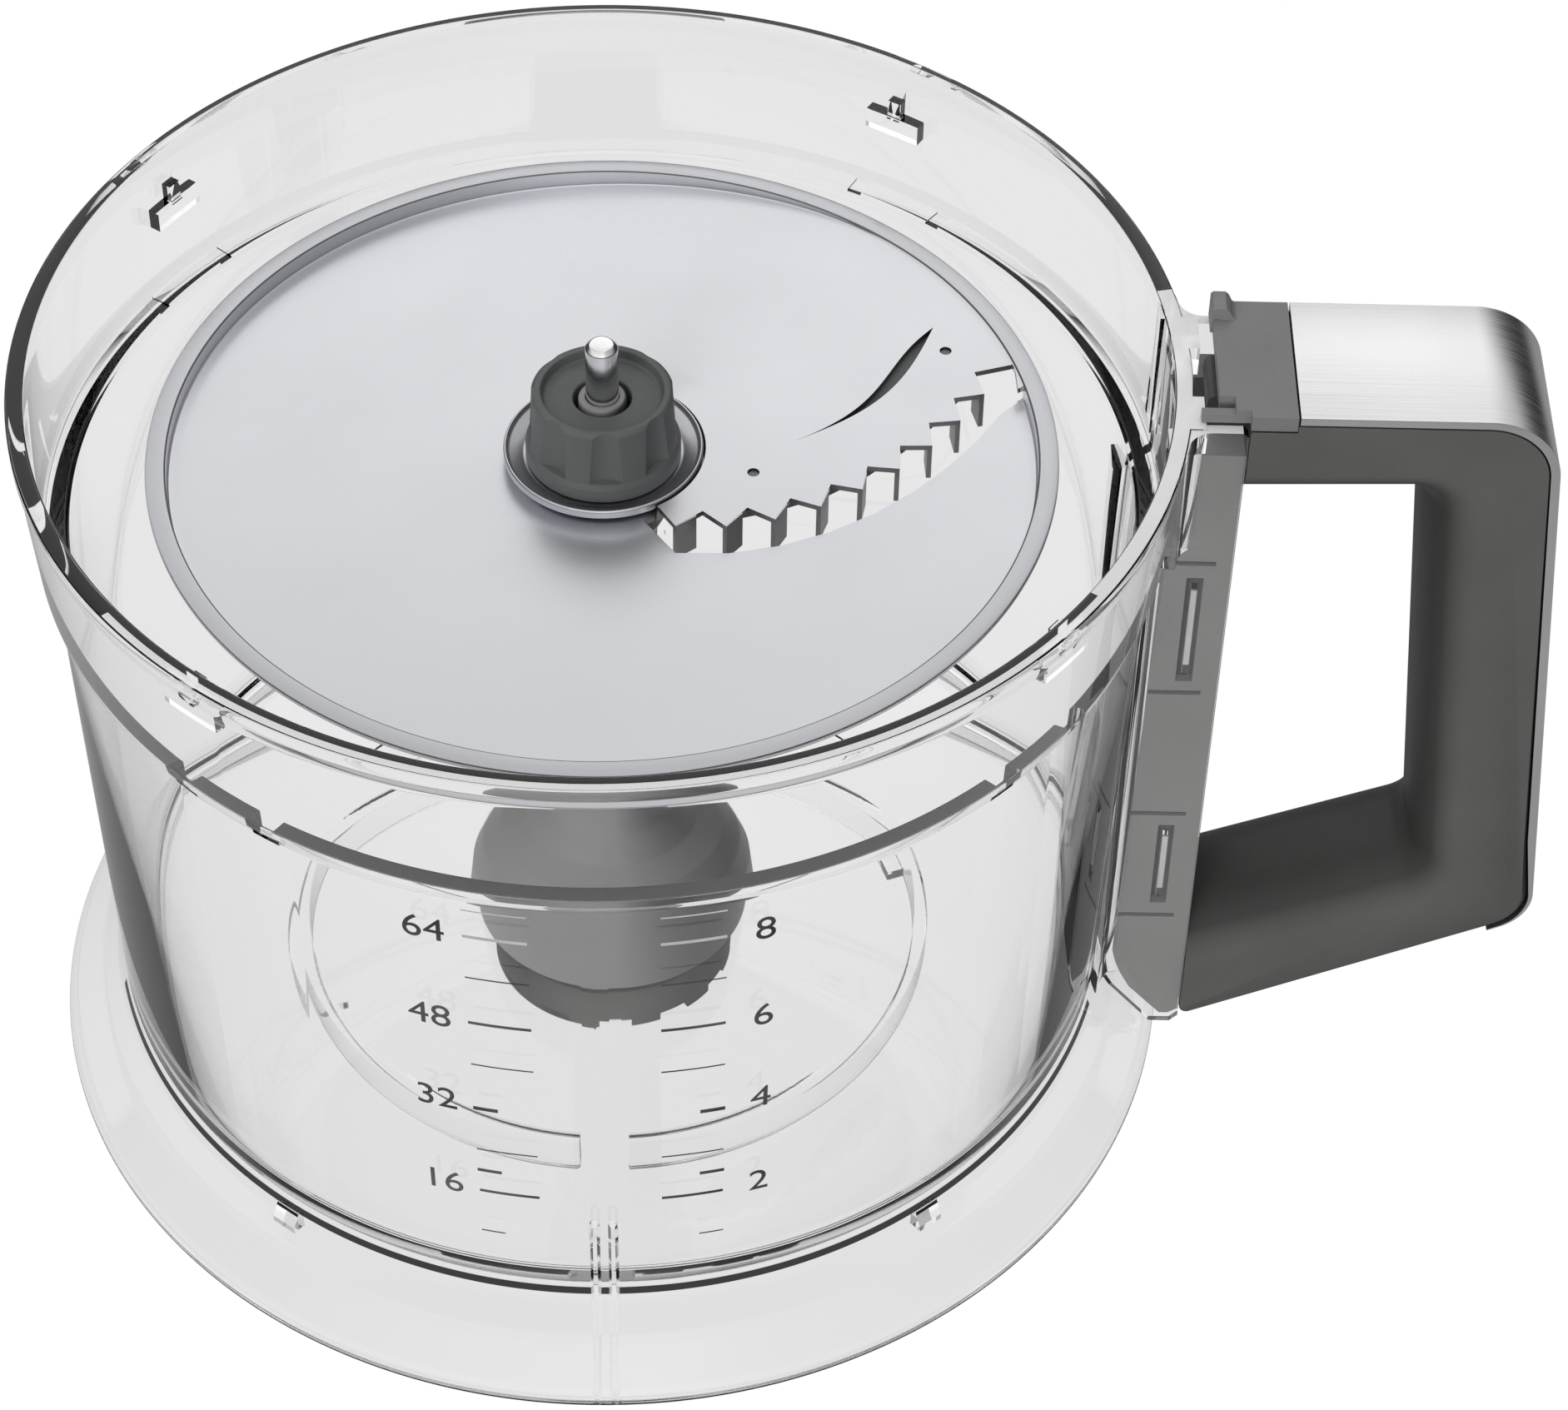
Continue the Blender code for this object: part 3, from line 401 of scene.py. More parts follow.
def paint_light_and_shade():
    """Painted light and shade: the disc lighter towards the back, its outer ring darker, painted
    shade on the grip's flare, in the spine's windows and on the stem's right side.
    """
    tree = DISC_STEEL.node_tree
    # Painted reflection: the disc darker at the front and lighter towards the back.
    shade(DISC_STEEL, remap(tree, position(tree, "Y"), 0.91, 1.08, -0.07, 0.07))
    # The disc's outer ring is made darker.
    shade(DISC_STEEL, remap(tree, from_axis(tree), 1.0, 0.82, 0.0705, 0.0710))
    # Painted shade: the handle plastic darker where it turns away from the front and back.
    shade(CORE, facing(CORE.node_tree, "Y", "ABSOLUTE", 0.72, 1.0, 0.36, 1.0))
    # Painted shade: the sunk window floors on the spine's sides are made darker.
    tree = SPINE.node_tree
    off_side = facing(tree, "Y", "ABSOLUTE", 0.4, 0.6, 1.0, 0.0)
    not_sunk = remap(tree, position(tree, "Y", "ABSOLUTE"), 0.3, 1.0, 0.0114, 0.0116)
    shade(SPINE, larger(tree, off_side, not_sunk))
    # Painted shade: the stem darker on its right side.
    shade(STEM, facing(STEM.node_tree, "X", "MULTIPLY", 0.1, 0.7, 1.05, 0.28))


paint_light_and_shade()


def dress(obj, mat):
    obj.data.materials.clear()
    obj.data.materials.append(mat)


def finish_piece(obj, mat, body, replaces=(), angle=32.0):
    smooth(obj, angle)
    dress(obj, mat)
    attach(obj, body)
    if replaces:
        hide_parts(*replaces)
    return obj


# ---------------------------------------------------------------- bowl

BASE_R, RIM_R, RIM_Z, LEDGE_Z, FLOOR_TOP, FLOOR_Z = 98.7, 94.0, 144.9, 118.0, 19.6, 17.0
RIM_MIDDLE, LEDGE_OUTER_R = 92.6, 90.6
COLLAR_R, COLLAR_BOTTOM, WALL = 57.2, 9.0, 2.6
COLLAR_GAP = (-3.2, 5.2)       # from one end of the locking ring to the other, in X
SPINE_X, SPINE_HALF, WING_HALF, WING_T = 102.1, 11.8, 14.1, 1.9
WING_TOP = RIM_Z - 0.25
WINDOWS = ((32.8, 52.8), (88.0, 111.8))
PAD_GAP_HALF = 5.8             # half of the room that the rim's two pads leave for the lever
LUGS = ((-129.0, 3.6), (-38.0, 3.6), (58.3, 0.0), (146.2, 0.0))      # azimuth, lift
NOTCH_SPREAD = 5.3             # degrees from a lug's middle to each of its notches
NOTCHES = ((-127.5, 2.5, 113.6), (-39.4, 2.5, 113.6),                # azimuth, half width, bottom
           (57.0, 1.3, 117.7), (146.2, 1.3, 117.7))
RAMP_AZIMUTHS, FOOT_LUG_AZIMUTHS = (20.0, 200.0), (-126.5, -50.0)
RIB_AZIMUTH, RIB_OFFSET = -88.3, 1.5
FROST_AND_HIGHLIGHT_INNER, FROST_AND_HIGHLIGHT_OUTER = (-34.0, 13.0), (-140.0, 13.0)             # azimuths of the frosted rim, a painted highlight
FOOT_LINE = (16.9, 18.2)       # from the bottom of the foot's painted dark line to its top
DARK_LEDGE, DARK_FOOT = (-168.0, -12.0), (-165.0, -15.0)             # azimuths of the painted dark lines


def bowl_profile():
    """The turned wall as (radius, z, corner radius), down the outside and up the inside."""
    points = [
        (RIM_R, RIM_Z, .35), (RIM_R, 142.6, 3), (93.5, 140.5, 8), (92.0, 119.0, 4),
        (91.4, 116.6, 2),
        (89.9, 114.4, 3), (87.4, 19.2, 3),
        (87.725, FOOT_LINE[1], 0), (88.148, FOOT_LINE[0], 0), (88.7, 15.2, 4),
        (92.0, 9.0, 12), (98.0, 1.8, 3), (BASE_R, 0.9, 1), (BASE_R, 0.0, .4), (96.5, 0.0, .4),
        (95.6, 1.0, 2), (89.6, 8.3, 8), (86.4, 14.0, 5), (84.6, FLOOR_Z, 1.2), (11.0, FLOOR_Z, .3),
        (11.0, 44.0, .3), (13.4, 44.0, .5), (13.4, 21.1, 1.2), (14.9, FLOOR_TOP, 1.2),
        (82.8, FLOOR_TOP, 3), (84.2, 20.2, 3), (84.8, 21.8, 3), (86.7, 117.2, .6),
        (87.3, LEDGE_Z, .4), (LEDGE_OUTER_R, LEDGE_Z, .3), (90.7, 118.6, 1.5), (91.0, 140.5, 8),
        (91.1, RIM_Z, .35), (RIM_MIDDLE, RIM_Z, 0)]
    return rounded([(r, z) for r, z, _ in points], [c for _, _, c in points], 4)


def collar():
    """The locking ring under the floor, open at the front."""
    inner = COLLAR_R - WALL
    ring = [(COLLAR_R, FLOOR_Z + 1.0), (COLLAR_R, COLLAR_BOTTOM), (inner, COLLAR_BOTTOM),
            (inner, FLOOR_Z + 1.0)]
    obj = mesh_object("collar", lathe_mesh(rounded(ring, [0, .5, .5, 0], 3), 180))
    start, end = COLLAR_GAP
    cut(obj, mesh_object("collar_gap", box_mesh((start, -60.0, 5.0), (end, -50.0, FLOOR_Z))))
    return obj


def wing_outline():
    return [(91.9, WING_TOP), (101.2, WING_TOP), (SPINE_X, RIM_Z - 1.2), (SPINE_X, 4.2),
            (SPINE_X - 1.4, 2.6), (97.0, 2.6), (87.3, 14.6), (86.0, 24.0), (88.3, 114.0),
            (90.5, 119.6), (91.9, 141.0)]


def wing_fillet(side, join_x, low, high):
    """The rounded inner corner where a wing grows out of the wall."""
    radius, face = 4.2, WING_HALF
    arc = [polar(radius, 90.0 + 90.0 * k / 10) for k in range(11)]
    outline = [(join_x - 3.0, face - 0.9), (join_x + radius, face - 0.9)]
    outline += [(join_x + radius + x, face + radius - y) for x, y in arc]
    outline += [(join_x - 0.4, face + radius + 1.2), (join_x - 3.0, face + radius + 0.7)]
    return slab("fillet", [(x, side * y) for x, y in outline], low, high)


def ledge_notches():
    """Pairs of slots through the ledge, one at each side of every lid lug."""
    bm = bmesh.new()
    for middle, half, low in NOTCHES:
        for degrees in (middle - NOTCH_SPREAD, middle + NOTCH_SPREAD):
            box_mesh((85.0, -half, low), (LEDGE_OUTER_R + 0.05, half, LEDGE_Z + 1.0), degrees, bm)
    return mesh_object("notches", bm)


def front_ribs(bowl):
    """Two upright ribs that run from the wall down over the foot."""
    crest = [(86.4, 22.0), (87.7, 36.5), (88.7, 35.5), (88.9, 22.5), (90.2, 16.6), (93.5, 10.4),
             (98.3, 4.4), (98.4, 1.4), (96.6, 1.0), (90.6, 8.8), (87.4, 14.6)]
    root = [(86.4, 22.0), (87.6, 36.5), (87.7, 35.5), (87.4, 21.0), (88.4, 15.2), (91.8, 9.0),
            (97.7, 2.0), (97.7, 1.3), (96.6, 1.0), (90.6, 8.8), (87.4, 14.6)]
    turn = Matrix.Rotation(math.radians(RIB_AZIMUTH), 3, "Z")
    for offset in (-RIB_OFFSET, RIB_OFFSET):
        layers = ((-0.85, root), (-0.35, crest), (0.35, crest), (0.85, root))
        bm = loft_mesh([[(x, offset + y, z) for x, z in outline] for y, outline in layers])
        bmesh.ops.rotate(bm, verts=bm.verts, cent=(0, 0, 0), matrix=turn)
        combine(bowl, mesh_object("rib", bm))


def detail_faces(bowl):
    """The rim's top is frosted near the handle as a painted highlight; painted dark lines on the
    ledge and the wall's foot stand for dark reflections in the clear wall.
    """
    bowl.data.materials.append(EDGE)
    bowl.data.materials.append(PAINTED_DARK_CLEAR)
    frosted, dark = 1, 2
    for face in bowl.data.polygons:
        x, y, z = face.center / MM - Vector((AXIS_X, 0.0, 0.0))
        radius, degrees = math.hypot(x, y), math.degrees(math.atan2(y, x))
        if z > RIM_Z - 0.3 and face.normal.z > 0.95:
            # Frosted white where the rim's top gets its painted highlight.
            start, end = FROST_AND_HIGHLIGHT_INNER if radius < RIM_MIDDLE else FROST_AND_HIGHLIGHT_OUTER
            if start < degrees < end:
                face.material_index = frosted
        # Painted dark lines on the ledge and at the foot.
        elif abs(z - LEDGE_Z) < 0.9 and face.normal.z > 0.5 and radius < 90.8:
            if DARK_LEDGE[0] < degrees < DARK_LEDGE[1]:
                face.material_index = dark
        elif FOOT_LINE[0] < z < FOOT_LINE[1] and 87.5 < radius < 88.3:
            if DARK_FOOT[0] < degrees < DARK_FOOT[1]:
                face.material_index = dark


def make_bowl():
    bowl = mesh_object("clear_bowl", lathe_mesh(bowl_profile()))
    combine(bowl, collar())
    for side in (-1, 1):
        low, high = sorted((side * WING_HALF, side * (WING_HALF - WING_T)))
        combine(bowl, slab("wing", wing_outline(), low, high, "xz"))
        combine(bowl, wing_fillet(side, 92.4, 120.0, WING_TOP))
        combine(bowl, wing_fillet(side, 86.9, 16.0, 112.0))
    details = bmesh.new()
    for side in (-1, 1):
        inner, outer = sorted((side * PAD_GAP_HALF, side * (WING_HALF - 0.6)))
        box_mesh((RIM_MIDDLE, inner, 139.4), (95.4, outer, RIM_Z), 0.0, details)
    for degrees, lift in LUGS:
        box_mesh((88.6, -5.2, 132.0 + lift), (91.4, 5.2, 135.6 + lift), degrees, details)
        box_mesh((89.2, -1.2, 135.0 + lift), (91.4, 1.2, 138.6 + lift), degrees, details)
    for degrees in RAMP_AZIMUTHS:
        box_mesh((COLLAR_R - WALL - 3.4, -5.0, COLLAR_BOTTOM + 0.8),
                 (COLLAR_R - 1.0, 5.0, COLLAR_BOTTOM + 3.0), degrees, details)
    for degrees in FOOT_LUG_AZIMUTHS:
        box_mesh((84.6, -2.3, 10.6), (87.6, 2.3, 14.6), degrees, details)
    combine(bowl, mesh_object("details", details))
    front_ribs(bowl)
    tongues = bmesh.new()
    for z_low, z_high in WINDOWS:
        for side in (-1, 1):
            inner, outer = sorted((side * (SPINE_HALF - 1.0), side * (WING_HALF - WING_T + 0.4)))
            box_mesh((95.9, inner, z_low + 2.0), (96.9, outer, z_high - 2.0), 0.0, tongues)
    combine(bowl, mesh_object("tongues", tongues))
    cut(bowl, ledge_notches())
    finish_piece(bowl, CLEAR, "bowl_body", ["bowl"], 28.0)
    detail_faces(bowl)


# ---------------------------------------------------------------- fill scale

MAIN_MARKS, HALF_MARKS = (106.0, 85.2, 41.9), (112.1, 96.2, 74.8, 52.9)
NUMBERS = ((105.9, "64", "8"), (85.1, "48", "6"), (64.4, "32", "4"), (42.4, "16", "2"))


def wall_radius(z):
    return 87.4 + (z - 19.2) * (89.9 - 87.4) / (114.4 - 19.2)


def mark(bm, start, end, z, height, steps=12):
    """A thin raised line round the outside of the wall."""
    rings = []
    for k in range(steps + 1):
        degrees = start + (end - start) * k / steps
        ring = []
        for out, up in ((0.02, -0.5), (0.07, -0.5), (0.07, 0.5), (0.02, 0.5)):
            ring.append((*polar(wall_radius(z) + out, degrees), z + up * height))
        rings.append(ring)
    part = loft_mesh(rings)
    mesh = bpy.data.meshes.new("mark")
    part.to_mesh(mesh)
    part.free()
    bm.from_mesh(mesh)
    bpy.data.meshes.remove(mesh)


def digits(bm, text, middle, z, size=7.2):
    """Numbers bent round the outside of the wall."""
    curve = bpy.data.curves.new("digits", "FONT")
    curve.body = text
    curve.size = size
    curve.align_x = "CENTER"
    curve.align_y = "CENTER"
    curve.extrude = 0.025
    holder = bpy.data.objects.new("digits", curve)
    bpy.context.scene.collection.objects.link(holder)
    depsgraph = bpy.context.evaluated_depsgraph_get()
    mesh = bpy.data.meshes.new_from_object(holder.evaluated_get(depsgraph))
    bpy.data.objects.remove(holder, do_unlink=True)
    first = len(bm.verts)
    bm.from_mesh(mesh)
    bpy.data.meshes.remove(mesh)
    bm.verts.ensure_lookup_table()
    for vert in bm.verts[first:]:
        height = z + vert.co.y
        radius = wall_radius(height)
        degrees = middle + math.degrees(vert.co.x / radius)
        vert.co = (*polar(radius + 0.045 + vert.co.z, degrees), height)


def make_scale():
    dark, pale = bmesh.new(), bmesh.new()
    for z in MAIN_MARKS:
        mark(pale if z > 100 else dark, -101.4, -95.0, z, 0.6)
        mark(pale if z > 100 else dark, -82.1, -75.6, z, 0.6)
    for z in HALF_MARKS:
        ink = pale if z > 110 else dark
        mark(ink, -101.4, -95.0, z, 0.26)
        mark(ink, -82.1, -75.6, z, 0.26)
    for z, height in ((63.6, 0.8), (47.4, 0.7), (31.0, 0.26)):
        mark(dark, -101.5, -98.9, z, height)
        mark(dark, -78.1, -75.5, z, height)
    for z, left, right in NUMBERS:
        digits(dark, left, -105.4, z)
        digits(dark, right, -71.7, z)
    bmesh.ops.remove_doubles(dark, verts=dark.verts, dist=0.0005)
    finish_piece(mesh_object("scale_marks", dark), INK, "bowl_body")
    finish_piece(mesh_object("scale_marks_pale", pale), PALE_INK_AND_HIGHLIGHT, "bowl_body")


def make_window_bars():
    """Pale bars, a painted highlight for the light edge of the clear moulding that shows in each of
    the spine's windows.
    """
    bars = bmesh.new()
    for z_low, z_high in WINDOWS:
        for side in (-1, 1):
            inner, outer = sorted((side * (SPINE_HALF - 1.5), side * (SPINE_HALF - 1.1)))
            box_mesh((96.0, inner, z_low + 3.4), (96.9, outer, z_high - 3.4), 0.0, bars)
    finish_piece(mesh_object("window_bars", bars), PALE_INK_AND_HIGHLIGHT, "bowl_body")


make_scale()
make_bowl()
make_window_bars()

# ---------------------------------------------------------------- disc

DISC_R, GROOVE_R, PLATE_Z, PLATEAU_Z, DISC_T = 73.8, 70.5, 123.6, 126.3, 1.0
TEETH, TOOTH_PITCH, TOOTH_STEP, TOOTH_LENGTH, TOOTH_T, SLOT_WIDTH = 9, 5.2, 5.55, 4.1, 0.8, 3.4
RIVETS = {"inner": (24.4, -5.4), "outer": (55.7, 25.4)}


def tooth_places():
    """Radius and angle of each tooth's leading corner, and of the blade's end."""
    places, degrees = [], -56.2
    for i in range(TEETH):
        radius = 22.1 + TOOTH_PITCH * i
        places.append((radius, degrees))
        degrees += math.degrees(TOOTH_STEP / radius)
    return places, degrees


PLACES, BLADE_END = tooth_places()


def slit_angle(radius):
    """Where the sheet's two sides part, in the middle of the slot in front of the teeth."""
    points = [(0.0, -58.5), (17.0, -58.5)]
    points += [(r, a - math.degrees(2.0 / r)) for r, a in PLACES] + [(80.0, BLADE_END - 1.5)]
    for (r0, a0), (r1, a1) in zip(points, points[1:]):
        if r0 <= radius <= r1:
            return a0 + (a1 - a0) * (radius - r0) / (r1 - r0)


def sheet_height(radius, degrees):
    """Top of the plate: level, but raised behind the blade and easing down to the plate again."""
    if radius < 16.6:
        return PLATE_Z
    turn = (degrees + 90.0) % 360.0 - 90.0
    if turn < slit_angle(radius):
        turn += 360.0
    share = min(max((turn - 33.0) / 75.0, 0.0), 1.0)
    ease = share ** 3 * (share * (6.0 * share - 15.0) + 10.0)
    return PLATEAU_Z + (PLATE_Z - PLATEAU_Z) * ease


def disc_section(radius, height):
    """The top and the bottom point of the pressed sheet at one of its radii."""
    low = height - DISC_T
    if radius <= 69.9:
        return (radius, height), (radius, low)
    wall = {70.2: ((70.2, height + 0.05), (70.6, low + 0.05)),
            70.4: ((70.4, min(height + 0.2, 126.4)), (71.0, min(low + 0.3, 125.0))),
            70.5: ((GROOVE_R, min(height + 0.5, 126.42)), (71.25, min(low + 0.8, 125.1))),
            70.6: ((GROOVE_R + 0.02, 126.45), (71.35, 125.15)),
            70.8: ((GROOVE_R + 0.14, 126.57), (71.6, 125.25)),
            71.0: ((GROOVE_R + 0.3, 126.6), (71.9, 125.3)),
            73.3: ((73.4, 126.6), (73.4, 125.4)),
            73.6: ((73.68, 126.5), (73.68, 125.5)),
            73.8: ((DISC_R, 126.25), (DISC_R, 125.75))}
    return wall[radius]


def disc_sheet(steps=480):
    radii = [9.0, 13.0, 16.2, 16.6, 17.0, 18.5] + [r for r, _ in PLACES] + [66.5, 69.0, 69.9]
    radii += [70.2, 70.4, 70.5, 70.6, 70.8, 71.0, 73.3, 73.6, 73.8]
    bm = bmesh.new()
    tops, bottoms = [], []
    for radius in radii:
        start = slit_angle(radius)
        is_open = 16.6 <= radius <= 70.5
        top, bottom = [], []
        for k in range(steps + 1):
            if k == steps and not is_open:
                top.append(top[0])
                bottom.append(bottom[0])
                continue
            nudge = 0.02 if k == 0 else -0.02 if k == steps else 0.0
            degrees = start + 360.0 * k / steps + (nudge if is_open else 0.0)
            height = sheet_height(radius, degrees) if k < steps else PLATE_Z
            above, below = disc_section(radius, height)
            top.append(bm.verts.new((*polar(above[0], degrees), above[1])))
            bottom.append(bm.verts.new((*polar(below[0], degrees), below[1])))
        tops.append(top)
        bottoms.append(bottom)
    for j in range(len(radii) - 1):
        for k in range(steps):
            a, b, c, d = tops[j][k], tops[j + 1][k], tops[j + 1][k + 1], tops[j][k + 1]
            bm.faces.new((a, b, c, d))
            a, b, c, d = bottoms[j][k], bottoms[j][k + 1], bottoms[j + 1][k + 1], bottoms[j + 1][k]
            bm.faces.new((a, b, c, d))
        for k in (0, steps):
            wall = [tops[j][k], tops[j + 1][k], bottoms[j + 1][k], bottoms[j][k]]
            if tops[j][0] is not tops[j][steps] or tops[j + 1][0] is not tops[j + 1][steps]:
                bm.faces.new(wall if k else wall[::-1])
    for j in (0, len(radii) - 1):
        for k in range(steps):
            bm.faces.new((tops[j][k], tops[j][k + 1], bottoms[j][k + 1], bottoms[j][k]))
    return mesh_object("steel_disc", bm)


def slot_outline():
    """The see-through gap between the blade's stepped edge and the plate's smooth one."""
    outline = [polar(16.0, -56.2)]
    for radius, degrees in PLACES:
        step_end = degrees + math.degrees(TOOTH_STEP / radius)
        outline += [polar(radius, degrees), polar(radius, step_end)]
    outline.append(polar(GROOVE_R - 0.15, BLADE_END))
    front = []
    for i in range(TEETH):
        later, earlier = PLACES[min(i + 1, TEETH - 1)], PLACES[max(i - 1, 0)]
        ahead = Vector(polar(*later)) - Vector(polar(*earlier))
        point = Vector(polar(*PLACES[i])) + Vector((ahead.y, -ahead.x)).normalized() * SLOT_WIDTH
        front.append((point.x, point.y))
    front.append(polar(69.4, 13.2))
    front.append(polar(GROOVE_R - 0.15, BLADE_END - 1.2))
    return outline + front[::-1] + [polar(16.0, -64.0)]


def crescent_outline(steps=40):
    """The long slot behind the blade: two arcs that meet at sharp ends."""
    start, end = Vector((29.7, 1.6)), Vector((53.7, 31.3))
    along = end - start
    sideways = Vector((along.y, -along.x)).normalized()
    near = [start + along * (k / steps) + sideways * (4.5 * math.sin(math.pi * k / steps))
            for k in range(steps + 1)]
    far = [near[k] - sideways * (2.5 * math.sin(math.pi * (k / steps) ** 2))
           for k in range(steps - 1, 0, -1)]
    return [(p.x, p.y) for p in near + far]


def make_disc():
    disc = disc_sheet()
    cut(disc, slab("slot", slot_outline(), 118.0, 130.0))
    cut(disc, slab("crescent", crescent_outline(), 118.0, 130.0))
    for x, y in RIVETS.values():
        cut(disc, mesh_object("hole", rod_mesh(x, y, 1.0, 118.0, 130.0)))
    for radius, degrees in PLACES:
        turn = degrees + math.degrees(TOOTH_LENGTH / 2 / radius)
        tooth = box_mesh((radius - TOOTH_T, -TOOTH_LENGTH / 2, 119.2),
                         (radius, TOOTH_LENGTH / 2, PLATEAU_Z - 0.05), turn)
        combine(disc, mesh_object("tooth", tooth))
    finish_piece(disc, DISC_STEEL, "disc_body", ["disc_plate"], 25.0)
    disc.data.materials.append(DISC_SHADE_STEEL)
    # Painted shade: the upright faces of the teeth, slots and holes and a line in the ring's groove
    # are made dark.
    for face in disc.data.polygons:
        radius = math.hypot(face.center.x / MM - AXIS_X, face.center.y / MM)
        shaded_cut_edge = radius < 70.0 and abs(face.normal.z) < 0.3
        groove_shadow = 70.5 < radius < 70.78 and face.normal.z > 0.2
        if shaded_cut_edge or groove_shadow:
            face.material_index = 1
    # The rivets use the same dark steel.
    for place, (x, y) in RIVETS.items():
        rivet = mesh_object("rivet_" + place, rod_mesh(x, y, 0.95, 119.4, 125.9))
        finish_piece(rivet, DISC_SHADE_STEEL, "disc_body", ["blade_rivet_" + place])


def make_hub():
    flange = [(15.9, 127.0), (16.2, 126.6), (16.2, 125.5), (15.7, 125.0), (14.6, 124.2),
              (13.4, 123.9), (6.4, 123.9), (6.4, 125.1), (13.0, 125.1), (15.4, 126.2)]
    radii = [.25, .25, .4, .4, .8, .8, 0, 0, 1.0, .8]
    obj = mesh_object("hub_saucer", lathe_mesh(rounded(flange, radii, 5), 192))
    finish_piece(obj, DISC_STEEL, "disc_body", ["hub_flange"], 35.0)
    knob = [(10.9, 138.7), (11.5, 138.1), (12.1, 128.9), (12.3, 128.5), (12.6, 127.9),
            (12.6, 125.7), (12.3, 125.4), (4.7, 125.4), (4.7, 137.0), (9.3, 137.0),
            (9.6, 137.3), (9.9, 138.7)]
    radii = [.5, .4, .2, .2, .4, .3, .2, 0, .3, .6, .4, .25]
    obj = mesh_object("hub_grip", lathe_mesh(rounded(knob, radii, 4), 192))
    for i in range(8):
        x, y = polar(15.0, -85.0 + 45.0 * i)
        cut(obj, mesh_object("flute", rod_mesh(x, y, 4.2, 128.9, 142.0, 64)))
    bevel(obj, 0.25, 2, 35.0)
    apply_modifiers(obj)
    finish_piece(obj, KNOB, "disc_body", ["hub_knob"], 45.0)
    base = [(14.0, 122.3), (14.0, 120.6), (10.8, 119.9), (4.2, 119.9), (4.2, 122.3)]
    obj = mesh_object("hub_collar", lathe_mesh(rounded(base, [.4, .6, .4, 0, 0], 4), 128))
    finish_piece(obj, KNOB, "disc_body", ["hub_base"])


# ---------------------------------------------------------------- drive

def make_stem():
    outside = [(3.9, 137.3, .5), (3.9, 119.6, 0), (9.9, 119.6, .3), (10.4, 118.8, .3),
               (10.4, 114.0, .6), (8.6, 110.0, 6), (8.9, 62.0, 6), (10.0, 55.4, 4),
               (14.2, 50.6, 3), (18.6, 47.6, 3), (21.6, 44.4, 3), (23.2, 40.0, 4),
               (23.9, 33.0, 5), (23.9, 21.0, .5), (23.1, 20.2, .3)]
    inside = [(21.7, 20.2, .2), (21.5, 33.0, 0), (20.6, 40.0, 0), (15.6, 46.6, 0), (8.1, 46.6, 0),
              (8.1, 61.0, 0), (2.7, 61.0, 0), (2.7, 137.3, .2)]
    points = outside + inside
    profile = rounded([p[:2] for p in points], [p[2] for p in points], 5)
    obj = mesh_object("stem_sleeve", lathe_mesh(profile, 192))
    finish_piece(obj, STEM, "stem_body", ["drive_stem"], 35.0)
    pin = [(0.0, 148.2), (1.9, 148.2), (2.65, 147.4), (2.65, 112.0), (0.0, 112.0)]
    obj = mesh_object("stem_pin", lathe_mesh(rounded(pin, [0, .5, .4, 0, 0], 4), 96))
    finish_piece(obj, SHINY, "stem_body", ["drive_pin"], 40.0)


COUPLING_R, COUPLING_IN, COUPLING_LOW = 21.4, 18.4, 5.3
COUPLING_NOTCHES, FIRST_NOTCH, NOTCH_HALF, NOTCH_TOP = 12, 3.5, 2.9, 7.4


def make_coupling():
    ring = [(20.6, 16.6), (COUPLING_R, 15.8), (COUPLING_R, COUPLING_LOW),
            (COUPLING_IN, COUPLING_LOW), (COUPLING_IN, 13.6), (8.6, 13.6), (8.6, 8.4),
            (5.6, 8.4), (5.6, 16.6)]
    radii = [.3, .3, .4, .3, .4, .4, .2, 0, 0]
    obj = mesh_object("coupling_ring", lathe_mesh(rounded(ring, radii, 3), 180))
    for i in range(COUPLING_NOTCHES):
        degrees = 360.0 / COUPLING_NOTCHES * i + FIRST_NOTCH
        notch = box_mesh((16.9, -NOTCH_HALF, 4.0), (22.4, NOTCH_HALF, NOTCH_TOP), degrees)
        cut(obj, mesh_object("notch", notch))
    finish_piece(obj, CORE, "coupling_body", ["drive_coupling"])
    shaft = [(0.0, 58.0), (4.9, 58.0), (5.5, 57.4), (5.5, 9.6), (4.9, 9.0), (0.0, 9.0)]
    obj = mesh_object("coupling_shaft", lathe_mesh(shaft, 96))
    finish_piece(obj, SHINY, "coupling_body", ["drive_shaft"])


# ---------------------------------------------------------------- handle

REACH, REACH_Z, TOP_X, TOP_Z, HANDLE_HALF = 161.55, 36.5, 150.9, 148.0, 14.0
STRIP_T, GAP, STRIP_START = 1.5, 0.3, 109.9
CORE_START, CORE_LOW = SPINE_X + GAP, 3.2
HOLD_FLAT, HOLD_FLARE, HOLD_SLOPE = 3.0, (6.5, 9.0, 11.0), 0.43


def side_point(z):
    return TOP_X + (REACH - TOP_X) * (TOP_Z - z) / (TOP_Z - REACH_Z), z


